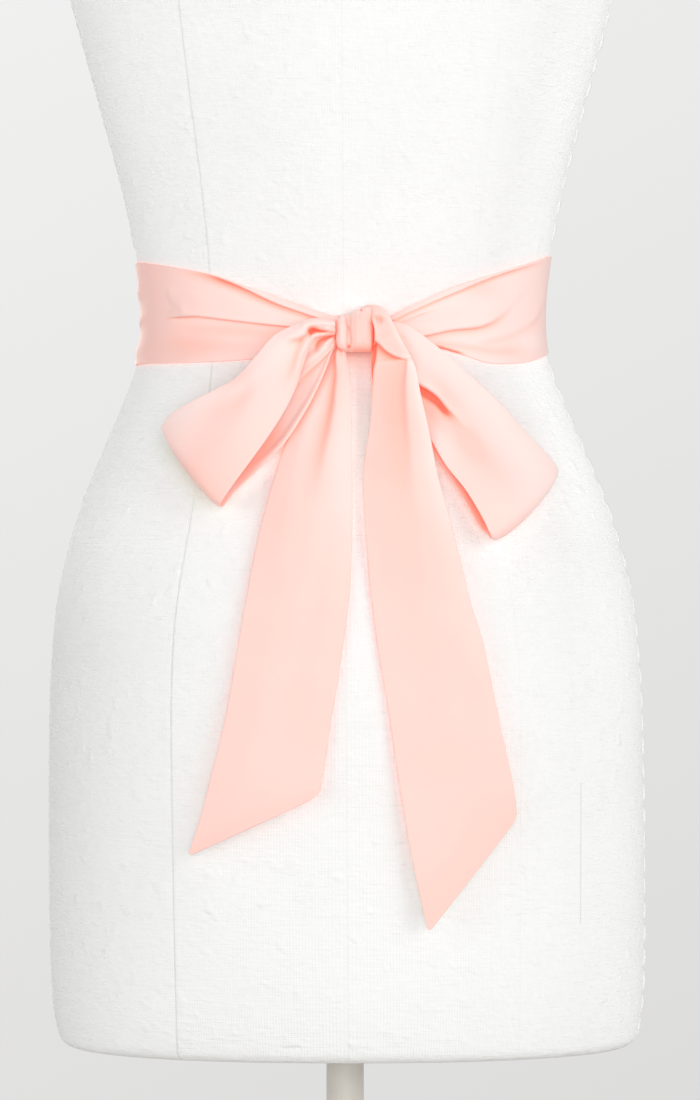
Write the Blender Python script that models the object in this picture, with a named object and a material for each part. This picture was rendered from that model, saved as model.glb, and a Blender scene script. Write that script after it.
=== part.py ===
# A satin sash tied in a bow round the waist of a limbless dress form.
# Sizes are in millimetres and are turned to metres where the meshes are made.
# The bow faces -Y, +Z is up, and the origin is under the middle of the base disc.

import math

import bmesh
import bpy
from mathutils import Vector

MM = 0.001

# Stand and dress form
BASE_RADIUS = 190.0
BASE_THICKNESS = 6.0
BASE_EDGE = 1.5
COLLAR_RADIUS = 24.0
POLE_RADIUS = 11.5
RUNNING_GAP = 0.3
WAIST_HEIGHT = 660.0
FORM_FOOT = -448.0
FORM_EDGE = 7.0
SOCKET_DEPTH = 80.0
NECK_TOP = 484.0
CAP_OVERHANG = 3.0
SECTION_POWER = 2.2
FORM_LEAN = -0.0065
LEAN_FROM = -180.0
BUST_RISE = 150.0
BUST_SIDE = 78.0
BUST_SPREAD = 50.0
BUST_DEPTH = 22.0

# Sash
CLOTH_WALL = 1.2
BAND_GAP = 1.1
BAND_PLEATS = 3
BAND_PLEAT_HEIGHT = 0.8
BAND_PLEAT_FADE = 9.0           # degrees round the form
KNOT_HEIGHT = 645.0
KNOT_BACK_GAP = 0.6
KNOT_RISE_POWER = 0.8
KNOT_DEPTH_POWER = 0.75

# How a strip lies: its bulge across, the height of the pleats at its root and how far
# they reach. A loop turns back on itself at its turn_row.
TAIL_LIE = {"crown": 0.8, "pleat": 1.0, "pleat_fade": 40.0, "turn_row": None}
LOOP_LIE = {"crown": 3.0, "pleat": 1.2, "pleat_fade": 22.0, "turn_row": 10}
STRIP_PLEATS = 2
CROWN_START = 30.0              # a strip reaches its full bulge this far from the knot
BACK_CROWN_SHARE = -0.25        # bulge and pleats of a loop's back layer beside its front one
BACK_PLEAT_SHARE = 0.4
FOLD_FADE = 0.25                # share of a fold's length that it takes to rise and to fall
LAP_EDGE_SHARE = 0.22           # how abruptly a lap ends on its open side

# Mesh fineness
KNOT_STATIONS = (-4.9, -4.4, -3.4, -1.6, 0.2, 1.6, 2.8, 4.0, 6.0, 9.0, 12.0, 14.2, 15.4, 16.0)
KNOT_ARCH_STEPS = 14
BAND_NEAR_STEPS = 27
BAND_FAR_STEPS = 18
BAND_ACROSS_STEPS = 10
FORM_RINGS = (
    -425, -391, -352, -317, -268, -219, -190, -165, -140, -115, -92, -70, -50,
    -30, -10, 12, 40, 70, 100, 125, 150, 175, 205, 240, 280, 320, 345, 360,
    372, 382, 392, 402, 412, 424, 445, NECK_TOP,
)
FORM_EDGE_STEPS = 3
FORM_SEGMENTS = 40
BASE_SEGMENTS = 64
POLE_SEGMENTS = 24
COLLAR_SEGMENTS = 48


def table(columns, *rows):
    names = columns.split()
    return [dict(zip(names, row)) for row in rows]


# Outlines of the turned pieces, from the foot up: how far in from the widest radius.
COLLAR = table(
    "inset rise",
    (0.0, 0.0),
    (0.0, 6.0),
    (6.0, 12.0),
    (7.0, 32.0),
    (9.0, 34.0),
)
CAP_EDGE = table(
    "inset rise",
    (1.5, 0.0),
    (0.0, 1.5),
    (0.0, 6.5),
    (2.5, 9.0),
)
CAP_DOME = table(
    "radius_share rise",
    (0.6, 12.5),
    (0.2, 14.0),
)

# Half width, back and front depth of the form by the rise from its waist.
FORM = table(
    "rise half_width back front forward",
    (-448, 176.0, 104.0, 97.0, 0.0),
    (-425, 180.2, 110.0, 102.0, 0.0),
    (-391, 181.8, 114.5, 105.0, 0.0),
    (-317, 182.3, 122.0, 106.0, 0.0),
    (-268, 181.7, 126.0, 107.0, 0.0),
    (-219, 180.2, 128.0, 109.0, 0.0),
    (-170, 175.0, 125.0, 110.0, 0.0),
    (-120, 161.7, 114.0, 107.0, 0.0),
    (-83, 146.8, 103.5, 101.5, 0.0),
    (-55, 134.8, 95.5, 97.0, 0.0),
    (-28, 126.7, 90.0, 94.0, 0.0),
    (0, 124.5, 88.0, 93.0, 0.0),
    (40, 129.3, 90.0, 96.0, 0.0),
    (70, 134.0, 93.0, 100.0, 0.0),
    (132, 149.4, 101.0, 108.0, 0.0),
    (193, 165.7, 107.0, 110.0, 0.0),
    (260, 181.0, 109.0, 106.0, 0.0),
    (320, 185.0, 105.0, 98.0, 0.0),
    (360, 181.0, 95.0, 88.0, 2.0),
    (380, 168.0, 86.0, 80.0, 4.0),
    (397, 132.0, 77.0, 72.0, 7.0),
    (410, 92.0, 68.0, 64.0, 10.0),
    (423, 66.0, 60.0, 57.0, 13.0),
    (445, 57.0, 55.0, 53.0, 16.0),
    (484, 55.0, 53.0, 52.0, 20.0),
)

# Top and bottom edge of the waist band by the angle round the form from the middle
# of its back, towards the right. Rises are from the knot.
BAND = table(
    "angle top bottom",
    (6.6, 7.2, -8.6),
    (11, 8.8, -7.0),
    (17, 15.0, -7.6),
    (24, 22.0, -9.9),
    (32, 28.4, -13.9),
    (41, 33.8, -18.3),
    (56, 41.1, -17.5),
    (75, 47.6, -12.2),
    (90, 50.2, -9.0),
    (135, 50.0, -11.0),
    (180, 49.0, -13.5),
    (225, 47.5, -15.5),
    (270, 46.6, -16.5),
    (298, 42.3, -17.6),
    (321, 35.2, -18.1),
    (336, 26.1, -17.0),
    (348, 16.9, -13.5),
    (355, 10.8, -10.5),
    (357.9, 8.8, -8.5),
)

# Laps and troughs of the band, each from the knot outwards through three places.
# A positive depth is a lap whose upper side stands proud, a negative one a trough.
BAND_FOLDS = table(
    "angle0 rise0 angle1 rise1 angle2 rise2 depth reach",
    (9, 3.5, 28, 21.0, 80, 46.5, -1.3, 2.6),
    (10, -4.5, 39, 3.6, 60, 25.0, 3.4, 11.0),
    (40, -6.0, 66, 8.5, 84, 26.0, 1.8, 10.0),
    (356, 6.0, 344, 15.4, 320, 34.0, -1.3, 2.6),
    (356, 1.0, 328, 7.9, 302, 9.4, 3.2, 11.0),
    (354, -5.5, 334, -9.0, 300, -3.0, -1.4, 4.5),
    (100, 34.0, 150, 22.0, 196, 26.0, 1.2, 12.0),
    (176, 4.0, 214, 12.0, 262, 7.0, 1.1, 11.0),
)

# Each strip below is given across its two edges a and b, from the knot outwards.
# x is to the right of the form's middle, rise is from the knot, and lift is how far
# the middle of the cloth stands off the form.
LEFT_TAIL = table(
    "ax arise alift bx brise blift",
    (0.4, -12.5, 9.0, -4.2, -10.6, 8.0),
    (2.6, -25.5, 8.0, -9.6, -22.0, 6.0),
    (3.6, -41.7, 7.0, -19.0, -38.0, 5.0),
    (4.2, -71.3, 6.0, -34.5, -67.0, 4.6),
    (4.4, -98.0, 4.6, -43.5, -95.0, 4.4),
    (4.2, -124.2, 3.4, -51.0, -124.2, 4.6),
    (2.7, -155.6, 2.6, -57.8, -160.0, 5.0),
    (-1.9, -192.7, 2.4, -64.0, -196.0, 5.4),
    (-7.5, -227.0, 3.0, -70.5, -232.0, 6.4),
    (-11.0, -250.0, 4.2, -78.0, -262.0, 7.6),
    (-13.0, -263.0, 5.2, -85.0, -288.0, 8.6),
    (-14.8, -273.0, 5.8, -92.0, -309.5, 9.6),
)

RIGHT_TAIL = table(
    "ax arise alift bx brise blift",
    (16.6, 13.2, 16.6, 16.6, 4.6, 18.0),
    (23.0, 12.1, 18.6, 17.2, 0.2, 18.6),
    (27.7, 4.8, 20.5, 18.2, -4.6, 18.0),
    (32.1, -4.3, 21.0, 19.2, -9.6, 17.0),
    (37.4, -13.7, 20.5, 19.4, -18.0, 16.0),
    (41.5, -23.1, 20.0, 18.8, -27.0, 14.6),
    (44.5, -38.7, 19.0, 16.5, -38.5, 13.2),
    (49.1, -58.4, 17.0, 14.6, -57.0, 11.6),
    (54.6, -87.2, 12.5, 10.6, -84.0, 8.8),
    (62.6, -116.0, 8.0, 11.6, -112.0, 5.4),
    (73.0, -159.2, 6.4, 15.2, -155.6, 2.8),
    (80.5, -184.0, 6.2, 19.6, -190.0, 2.4),
    (88.9, -224.0, 6.8, 26.0, -228.0, 3.2),
    (94.0, -247.0, 7.6, 32.0, -268.0, 5.0),
    (98.6, -268.0, 8.4, 39.6, -312.0, 8.0),
    (101.0, -287.0, 9.2, 48.6, -353.5, 11.0),
)

# A loop's first rows are its front layer, then its bend, then its back layer.
LEFT_LOOP = table(
    "ax arise alift bx brise blift",
    (-5.5, 5.0, 14.0, -5.5, -3.2, 12.6),
    (-18.4, 6.2, 16.5, -17.2, -5.0, 14.0),
    (-31.0, 1.8, 19.0, -21.4, -12.5, 15.4),
    (-42.0, -4.2, 20.5, -25.0, -23.0, 16.8),
    (-52.0, -15.5, 21.5, -28.6, -34.5, 17.8),
    (-64.0, -28.6, 22.5, -34.2, -46.5, 18.8),
    (-77.0, -35.8, 23.0, -43.0, -61.0, 19.8),
    (-91.3, -42.7, 23.5, -53.5, -78.0, 20.8),
    (-102.0, -49.0, 23.0, -62.5, -91.0, 21.0),
    (-107.0, -54.6, 20.5, -70.8, -101.8, 19.0),
    (-108.2, -57.0, 16.0, -72.4, -104.0, 14.6),
    (-106.4, -55.6, 11.0, -70.2, -103.4, 10.6),
    (-99.0, -52.0, 8.6, -63.8, -95.4, 9.6),
    (-84.0, -44.0, 7.6, -51.5, -83.7, 9.4),
    (-66.0, -35.0, 8.0, -35.7, -67.8, 9.3),
    (-47.0, -22.0, 8.8, -22.0, -46.5, 9.3),
    (-29.0, -9.0, 9.2, -13.0, -28.0, 9.4),
    (-16.0, -1.0, 9.4, -8.4, -15.5, 9.4),
    (-5.5, 1.6, 9.4, -5.5, -8.6, 9.4),
)

RIGHT_LOOP = table(
    "ax arise alift bx brise blift",
    (16.6, 5.6, 13.2, 16.6, -5.0, 12.4),
    (27.8, 5.0, 13.4, 23.6, -11.0, 12.2),
    (39.0, 1.5, 13.8, 30.5, -26.0, 12.0),
    (50.0, -6.3, 14.4, 38.0, -41.5, 11.8),
    (62.0, -16.0, 15.6, 44.8, -54.5, 11.6),
    (74.3, -27.2, 16.8, 51.6, -67.4, 13.4),
    (90.0, -41.3, 17.8, 59.6, -81.0, 15.2),
    (103.6, -56.3, 18.4, 68.6, -94.6, 16.6),
    (115.2, -68.7, 18.8, 77.0, -109.0, 17.2),
    (123.6, -77.4, 17.6, 83.4, -119.6, 16.2),
    (126.0, -81.4, 13.4, 85.8, -123.0, 12.4),
    (123.8, -79.6, 9.0, 84.2, -121.6, 9.0),
    (115.0, -71.0, 7.0, 78.6, -116.6, 8.6),
    (99.0, -55.0, 6.6, 68.1, -98.1, 8.5),
    (82.0, -40.0, 6.8, 56.6, -80.6, 8.4),
    (64.0, -24.0, 8.4, 46.0, -62.5, 8.5),
    (46.0, -10.0, 9.0, 35.4, -41.7, 8.6),
    (30.0, -1.0, 9.2, 26.0, -21.0, 8.8),
    (16.6, 3.6, 9.2, 16.6, -9.0, 8.8),
)

# Laps and troughs of the strips: places along the strip in rows, and across it from
# edge a to edge b. A positive depth raises the side towards edge a.
LEFT_TAIL_FOLDS = table(
    "row0 across0 row1 across1 row2 across2 depth reach",
    (0.0, 0.62, 2.0, 0.62, 4.2, 0.58, -2.6, 3.0),
    (1.5, 0.18, 4.0, 0.2, 9.0, 0.34, 0.9, 6.0),
    (5.0, 0.7, 7.5, 0.66, 10.0, 0.7, -0.8, 7.0),
)
RIGHT_TAIL_FOLDS = table(
    "row0 across0 row1 across1 row2 across2 depth reach",
    (2.2, 0.72, 5.0, 0.36, 9.4, 0.42, 3.2, 8.0),
    (8.0, 0.7, 11.0, 0.62, 14.0, 0.66, -0.8, 8.0),
)
LEFT_LOOP_FOLDS = table(
    "row0 across0 row1 across1 row2 across2 depth reach",
    (0.0, 0.55, 2.4, 0.62, 4.8, 0.6, 2.2, 6.0),
    (4.5, 0.2, 6.5, 0.3, 8.5, 0.34, -0.9, 6.0),
    (14.0, 0.6, 16.0, 0.55, 18.0, 0.5, 1.1, 6.0),
)
RIGHT_LOOP_FOLDS = table(
    "row0 across0 row1 across1 row2 across2 depth reach",
    (1.0, 0.62, 4.0, 0.56, 7.2, 0.5, 2.0, 8.0),
    (5.0, 0.2, 7.0, 0.26, 8.8, 0.3, -0.8, 6.0),
    (14.0, 0.4, 16.0, 0.45, 18.0, 0.5, 1.0, 6.0),
)

# Sections of the knot from left to right: its top and bottom, and how deep it stands.
KNOT = table(
    "x top bottom depth",
    (-4.9, 4.6, -8.6, 12.5),
    (-3.6, 6.6, -10.4, 15.6),
    (-1.0, 8.4, -12.0, 17.2),
    (1.6, 9.2, -12.6, 16.6),
    (3.0, 9.8, -13.2, 17.0),
    (4.6, 10.6, -13.6, 19.6),
    (9.0, 11.8, -13.8, 21.4),
    (13.0, 13.4, -13.7, 20.2),
    (15.2, 13.6, -12.8, 19.6),
    (16.0, 13.0, -11.6, 18.6),
)


def smooth(rows, key, place, name):
    # Value of a column between its rows, on a cubic curve with the rows' own slopes.
    last = len(rows) - 1
    if place <= rows[0][key]:
        return rows[0][name]
    if place >= rows[last][key]:
        return rows[last][name]
    at = max(i for i in range(last) if rows[i][key] <= place)
    low, high = rows[at], rows[at + 1]
    span = high[key] - low[key]
    slope = (high[name] - low[name]) / span
    before, after = slope, slope
    if at > 0:
        before = (high[name] - rows[at - 1][name]) / (high[key] - rows[at - 1][key])
    if at < last - 1:
        after = (rows[at + 2][name] - low[name]) / (rows[at + 2][key] - low[key])
    t = (place - low[key]) / span
    return (
        (2 * t**3 - 3 * t**2 + 1) * low[name]
        + (t**3 - 2 * t**2 + t) * span * before
        + (3 * t**2 - 2 * t**3) * high[name]
        + (t**3 - t**2) * span * after
    )


def spread(low, high, count):
    return [low + (high - low) * i / count for i in range(count + 1)]


def ease(t):
    t = min(max(t, 0.0), 1.0)
    return t * t * (3.0 - 2.0 * t)


def signed_power(value, power):
    return math.copysign(abs(value) ** power, value)


def lean(rise):
    return FORM_LEAN * (rise - LEAN_FROM)


def bust(x, rise):
    # Two soft mounds on the far side of the form.
    total = 0.0
    for side in (-BUST_SIDE, BUST_SIDE):
        away = ((x - side) ** 2 + (rise - BUST_RISE) ** 2) / BUST_SPREAD**2
        total += BUST_DEPTH * math.exp(-away)
    return total


def form_point(angle, rise, out=0.0):
    # A place on the form, by the angle from the middle of its back towards +X.
    half_width = smooth(FORM, "rise", rise, "half_width")
    sine, cosine = math.sin(math.radians(angle)), math.cos(math.radians(angle))
    power = 2.0 / SECTION_POWER
    x = signed_power(sine, power) * (half_width + out)
    depth = smooth(FORM, "rise", rise, "back" if cosine > 0 else "front")
    y = -signed_power(cosine, power) * (depth + out)
    if cosine < 0:
        y += bust(x, rise) * abs(cosine)
    y += smooth(FORM, "rise", rise, "forward")
    return Vector((x + lean(rise), y, rise))


def form_back(x, rise):
    # Depth of the form's back surface at a place across it.
    half_width = smooth(FORM, "rise", rise, "half_width")
    share = min(abs(x - lean(rise)) / half_width, 0.999)
    depth = smooth(FORM, "rise", rise, "back")
    return depth * (1.0 - share**SECTION_POWER) ** (1.0 / SECTION_POWER)


def fold_line(fold, key, value, place):
    # The fold's place across, and how strong it is, at a place along it.
    places = [fold[key + str(i)] for i in range(3)]
    ways = [fold[value + str(i)] for i in range(3)]
    if places[0] > places[2]:
        places.reverse()
        ways.reverse()
    if not places[0] <= place <= places[2]:
        return None, 0.0
    rows = [{"at": p, "way": w} for p, w in zip(places, ways)]
    along = (place - places[0]) / (places[2] - places[0])
    strength = ease(along / FOLD_FADE) * ease((1.0 - along) / FOLD_FADE)
    return smooth(rows, "at", place, "way"), strength


def fold_lift(depth, reach, away):
    # A lap stands proud on its positive side; a trough is soft on both sides.
    if depth > 0 and away < 0:
        reach = LAP_EDGE_SHARE * reach
    return depth * math.exp(-((away / reach) ** 2))


def strip_middle(rows, folds, lie, along_count, across_count):
    # Middle surface of a strip of cloth, as rows of points in the form's frame.
    knots = []
    travelled = 0.0
    for i, row in enumerate(rows):
        middle = [(row["a" + c] + row["b" + c]) / 2 for c in ("x", "rise", "lift")]
        if knots:
            travelled += math.dist(middle, knots[-1]["middle"])
        knots.append({**row, "row": float(i), "travelled": travelled, "middle": middle})
    grid = []
    for place in spread(0.0, travelled, along_count):
        row = smooth(knots, "travelled", place, "row")
        edges = {
            name: smooth(knots, "travelled", place, name)
            for name in ("ax", "arise", "alift", "bx", "brise", "blift")
        }
        width = math.dist((edges["ax"], edges["arise"]), (edges["bx"], edges["brise"]))
        is_loop = lie["turn_row"] is not None
        from_knot = min(place, travelled - place) if is_loop else place
        crown = lie["crown"] * ease(place / CROWN_START)
        pleat = lie["pleat"] * math.exp(-from_knot / lie["pleat_fade"])
        if is_loop and row > lie["turn_row"]:
            crown *= BACK_CROWN_SHARE
            pleat *= BACK_PLEAT_SHARE
        line = []
        for across in spread(0.0, 1.0, across_count):
            x = edges["ax"] + (edges["bx"] - edges["ax"]) * across
            rise = edges["arise"] + (edges["brise"] - edges["arise"]) * across
            lift = edges["alift"] + (edges["blift"] - edges["alift"]) * across
            lift += crown * 4 * across * (1 - across)
            lift -= pleat * math.cos(2 * math.pi * STRIP_PLEATS * across)
            for fold in folds:
                way, strength = fold_line(fold, "row", "across", row)
                if way is not None:
                    away = (way - across) * width
                    lift += strength * fold_lift(fold["depth"], fold["reach"], away)
            back = form_back(x, rise + KNOT_HEIGHT - WAIST_HEIGHT)
            line.append(Vector((x, -(back + lift), rise)))
        grid.append(line)
    return grid


def band_middle():
    # Middle surface of the waist band, once round the form.
    angles = spread(BAND[0]["angle"], 90.0, BAND_NEAR_STEPS)[:-1]
    angles += spread(90.0, 270.0, BAND_FAR_STEPS)[:-1]
    angles += spread(270.0, BAND[-1]["angle"], BAND_NEAR_STEPS)
    grid = []
    for angle in angles:
        top = smooth(BAND, "angle", angle, "top")
        bottom = smooth(BAND, "angle", angle, "bottom")
        from_knot = min(angle - BAND[0]["angle"], BAND[-1]["angle"] - angle)
        pleat = BAND_PLEAT_HEIGHT * math.exp(-from_knot / BAND_PLEAT_FADE)
        line = []
        for across in spread(0.0, 1.0, BAND_ACROSS_STEPS):
            rise = top + (bottom - top) * across
            lift = BAND_GAP + CLOTH_WALL / 2
            lift += pleat * (1 - math.cos(2 * math.pi * BAND_PLEATS * across))
            for fold in BAND_FOLDS:
                way, strength = fold_line(fold, "angle", "rise", angle)
                if way is not None:
                    lift += strength * fold_lift(fold["depth"], fold["reach"], rise - way)
            lift = max(lift, BAND_GAP + CLOTH_WALL / 2)
            point = form_point(angle, rise + KNOT_HEIGHT - WAIST_HEIGHT, lift)
            line.append(Vector((point.x, point.y, rise)))
        grid.append(line)
    return grid


def grid_normals(grid):
    rows, columns = len(grid), len(grid[0])
    normals = []
    for i in range(rows):
        line = []
        for j in range(columns):
            along = grid[min(i + 1, rows - 1)][j] - grid[max(i - 1, 0)][j]
            across = grid[i][min(j + 1, columns - 1)] - grid[i][max(j - 1, 0)]
            line.append(along.cross(across).normalized())
        normals.append(line)
    return normals


def wall_from_grid(grid, thickness):
    # Closes a middle surface into a wall of cloth: two skins and a rim.
    rows, columns = len(grid), len(grid[0])
    normals = grid_normals(grid)
    points = []
    for side in (-0.5, 0.5):
        for i in range(rows):
            for j in range(columns):
                points.append(grid[i][j] + normals[i][j] * thickness * side)
    count = rows * columns
    faces = []
    for i in range(rows - 1):
        for j in range(columns - 1):
            a, b = i * columns + j, i * columns + j + 1
            c, d = b + columns, a + columns
            faces.append((a, b, c, d))
            faces.append((d + count, c + count, b + count, a + count))
    rim = list(range(columns))
    rim += [i * columns + columns - 1 for i in range(1, rows)]
    rim += [(rows - 1) * columns + j for j in range(columns - 2, -1, -1)]
    rim += [i * columns for i in range(rows - 2, 0, -1)]
    for here, there in zip(rim, rim[1:] + rim[:1]):
        faces.append((there, here, here + count, there + count))
    return points, faces


def loft(rings, round_again=False):
    # Joins rings of equal length into a skin, capped at both ends or led back to its start.
    count = len(rings[0])
    points = [point for ring in rings for point in ring]
    faces = []
    for r in range(len(rings) if round_again else len(rings) - 1):
        base, above = r * count, (r + 1) % len(rings) * count
        for i in range(count):
            j = (i + 1) % count
            faces.append((base + i, base + j, above + j, above + i))
    if not round_again:
        top = (len(rings) - 1) * count
        faces.append(tuple(range(count - 1, -1, -1)))
        faces.append(tuple(range(top, top + count)))
    return points, faces


def circle(radius, height, segments):
    angles = [2 * math.pi * i / segments for i in range(segments)]
    return [Vector((radius * math.cos(a), radius * math.sin(a), height)) for a in angles]


def material(name, color, roughness, metallic=0.0):
    new = bpy.data.materials.new(name)
    new.use_nodes = True
    shader = new.node_tree.nodes["Principled BSDF"]
    shader.inputs["Base Color"].default_value = (*color, 1.0)
    shader.inputs["Roughness"].default_value = roughness
    shader.inputs["Metallic"].default_value = metallic
    return new


def add_piece(name, points, faces, finish, parent, sharp=40.0):
    mesh = bpy.data.meshes.new(name)
    mesh.from_pydata([point * MM for point in points], [], faces)
    work = bmesh.new()
    work.from_mesh(mesh)
    bmesh.ops.recalc_face_normals(work, faces=work.faces[:])
    work.to_mesh(mesh)
    work.free()
    mesh.materials.append(finish)
    mesh.shade_smooth()
    mesh.set_sharp_from_angle(angle=math.radians(sharp))
    piece = bpy.data.objects.new(name, mesh)
    piece.parent = parent
    bpy.context.scene.collection.objects.link(piece)
    return piece


def add_empty(name, height, parent=None):
    empty = bpy.data.objects.new(name, None)
    empty.location = (0.0, 0.0, height * MM)
    empty.parent = parent
    bpy.context.scene.collection.objects.link(empty)
    return empty


def form_rings():
    # Socket, flat foot, rounded lower edge, then the body up to the neck.
    foot = FORM_FOOT
    socket = POLE_RADIUS + RUNNING_GAP
    angles = [360.0 * i / FORM_SEGMENTS for i in range(FORM_SEGMENTS)]

    def pole_ring(rise):
        turns = [math.radians(a) for a in angles]
        return [Vector((socket * math.sin(t), -socket * math.cos(t), rise)) for t in turns]

    rings = [pole_ring(foot + SOCKET_DEPTH), pole_ring(foot)]
    for degrees in spread(0.0, 90.0, FORM_EDGE_STEPS):
        turn = math.radians(degrees)
        inset = FORM_EDGE * (1 - math.sin(turn))
        rise = foot + FORM_EDGE * (1 - math.cos(turn))
        rings.append([form_point(a, rise, -inset) for a in angles])
    for rise in FORM_RINGS:
        rings.append([form_point(a, rise) for a in angles])
    return rings


def build_form(parent, linen):
    points, faces = loft(form_rings())
    add_piece("form_body", points, faces, linen, parent, sharp=50.0)


def build_cap(parent, wood):
    # A turned disc with a low dome that closes the neck.
    neck = smooth(FORM, "rise", NECK_TOP, "half_width")
    forward = smooth(FORM, "rise", NECK_TOP, "forward")
    shift = Vector((lean(NECK_TOP), forward, 0.0))
    base = NECK_TOP + RUNNING_GAP
    outer = neck + CAP_OVERHANG
    profile = [(outer - row["inset"], row["rise"]) for row in CAP_EDGE]
    profile += [(outer * row["radius_share"], row["rise"]) for row in CAP_DOME]
    rings = [[p + shift for p in circle(r, base + z, FORM_SEGMENTS)] for r, z in profile]
    points, faces = loft(rings)
    add_piece("neck_cap", points, faces, wood, parent)


def build_stand(parent, metal):
    disc = [
        (BASE_RADIUS, 0.0),
        (BASE_RADIUS, BASE_THICKNESS - BASE_EDGE),
        (BASE_RADIUS - BASE_EDGE, BASE_THICKNESS),
    ]
    points, faces = loft([circle(r, z, BASE_SEGMENTS) for r, z in disc])
    add_piece("base_disc", points, faces, metal, parent)

    foot = BASE_THICKNESS + RUNNING_GAP
    bore = POLE_RADIUS + RUNNING_GAP
    collar = [(bore, foot)]
    collar += [(COLLAR_RADIUS - row["inset"], foot + row["rise"]) for row in COLLAR]
    collar += [(bore, foot + COLLAR[-1]["rise"])]
    points, faces = loft([circle(r, z, COLLAR_SEGMENTS) for r, z in collar], round_again=True)
    add_piece("pole_collar", points, faces, metal, parent)

    pole_top = WAIST_HEIGHT + FORM_FOOT + SOCKET_DEPTH - RUNNING_GAP
    rings = [circle(POLE_RADIUS, z, POLE_SEGMENTS) for z in (foot, pole_top)]
    points, faces = loft(rings)
    add_piece("pole", points, faces, metal, parent)


def build_knot(parent, satin):
    # Rounded turn of cloth: an arch over the middle, flat at the back.
    rings = []
    for x in KNOT_STATIONS:
        top = smooth(KNOT, "x", x, "top")
        bottom = smooth(KNOT, "x", x, "bottom")
        depth = smooth(KNOT, "x", x, "depth")
        middle, half = (top + bottom) / 2, (top - bottom) / 2
        ring = []
        for turn in spread(-90.0, 90.0, KNOT_ARCH_STEPS):
            sine, cosine = math.sin(math.radians(turn)), math.cos(math.radians(turn))
            rise = middle + half * signed_power(sine, KNOT_RISE_POWER)
            stand = (depth - KNOT_BACK_GAP) * signed_power(cosine, KNOT_DEPTH_POWER) + KNOT_BACK_GAP
            back = form_back(x, rise + KNOT_HEIGHT - WAIST_HEIGHT)
            ring.append(Vector((x, -(back + stand), rise)))
        rings.append(ring)
    points, faces = loft(rings)
    add_piece("knot", points, faces, satin, parent, sharp=60.0)


def build_sash(parent, satin):
    points, faces = wall_from_grid(band_middle(), CLOTH_WALL)
    add_piece("waist_band", points, faces, satin, parent, sharp=60.0)
    build_knot(parent, satin)

    # name, rows, folds, how it lies, and how many steps along and across
    strips = [
        ("left_tail", LEFT_TAIL, LEFT_TAIL_FOLDS, TAIL_LIE, 28, 8),
        ("right_tail", RIGHT_TAIL, RIGHT_TAIL_FOLDS, TAIL_LIE, 36, 8),
        ("left_loop", LEFT_LOOP, LEFT_LOOP_FOLDS, LOOP_LIE, 42, 9),
        ("right_loop", RIGHT_LOOP, RIGHT_LOOP_FOLDS, LOOP_LIE, 42, 9),
    ]
    for name, *settings in strips:
        points, faces = wall_from_grid(strip_middle(*settings), CLOTH_WALL)
        add_piece(name, points, faces, satin, parent, sharp=60.0)


def clear_scene():
    for old in list(bpy.data.objects):
        bpy.data.objects.remove(old, do_unlink=True)


def main():
    clear_scene()
    linen = material("pale_linen", (0.86, 0.85, 0.82), 0.85)
    satin = material("peach_satin", (0.95, 0.62, 0.52), 0.38)
    metal = material("ivory_paint", (0.82, 0.80, 0.76), 0.45)
    wood = material("pale_wood", (0.74, 0.62, 0.47), 0.5)

    stand = add_empty("stand_origin", 0.0)
    form = add_empty("form_origin", WAIST_HEIGHT, stand)
    sash = add_empty("sash_origin", KNOT_HEIGHT, stand)

    build_stand(stand, metal)
    build_form(form, linen)
    build_cap(form, wood)
    build_sash(sash, satin)


main()
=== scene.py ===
import math

import bpy
import numpy as np
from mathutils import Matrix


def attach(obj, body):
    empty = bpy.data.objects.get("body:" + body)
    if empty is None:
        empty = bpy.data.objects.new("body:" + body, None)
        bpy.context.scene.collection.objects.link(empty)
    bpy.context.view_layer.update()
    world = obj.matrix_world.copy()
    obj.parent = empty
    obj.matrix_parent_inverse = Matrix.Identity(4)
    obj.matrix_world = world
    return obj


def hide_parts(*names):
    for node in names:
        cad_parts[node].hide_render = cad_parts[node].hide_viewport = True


# Looks of the satin sash and the dress form it is tied round.
# Tables are in millimetres, meshes in metres. The bow faces -Y, +Z is up.

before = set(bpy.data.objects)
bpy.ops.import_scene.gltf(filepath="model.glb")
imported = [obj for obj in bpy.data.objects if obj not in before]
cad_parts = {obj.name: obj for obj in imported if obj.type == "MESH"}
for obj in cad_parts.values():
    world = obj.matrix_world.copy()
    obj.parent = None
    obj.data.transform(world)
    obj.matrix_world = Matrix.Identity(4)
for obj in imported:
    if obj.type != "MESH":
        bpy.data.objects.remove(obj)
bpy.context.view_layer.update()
print("frame loaded")

mm = 0.001
waistHeight = 660.0     # form rises count from here
knotHeight = 645.0      # sash rises count from here


def table(columns, *rows):
    return {name: np.array([row[i] for row in rows], float) for i, name in enumerate(columns.split())}


def curve(places, values, at):
    # smooth line through a few values, held level past both ends
    places, values = np.asarray(places, float), np.asarray(values, float)
    at = np.clip(at, places[0], places[-1])
    last = len(places) - 2
    low = np.clip(np.searchsorted(places, at, side="right") - 1, 0, last)
    span = places[low + 1] - places[low]
    slope = (values[low + 1] - values[low]) / span
    prev, after = np.maximum(low - 1, 0), np.minimum(low + 2, last + 1)
    slopeIn = np.where(low > 0, (values[low + 1] - values[prev]) / (places[low + 1] - places[prev]), slope)
    slopeOut = np.where(low < last, (values[after] - values[low]) / (places[after] - places[low]), slope)
    t = (at - places[low]) / span
    return ((2 * t**3 - 3 * t**2 + 1) * values[low] + (t**3 - 2 * t**2 + t) * span * slopeIn
            + (3 * t**2 - 2 * t**3) * values[low + 1] + (t**3 - t**2) * span * slopeOut)


def ease(t):
    t = np.clip(t, 0.0, 1.0)
    return t * t * (3 - 2 * t)


def signedPower(value, power):
    return np.sign(value) * np.abs(value) ** power


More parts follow.
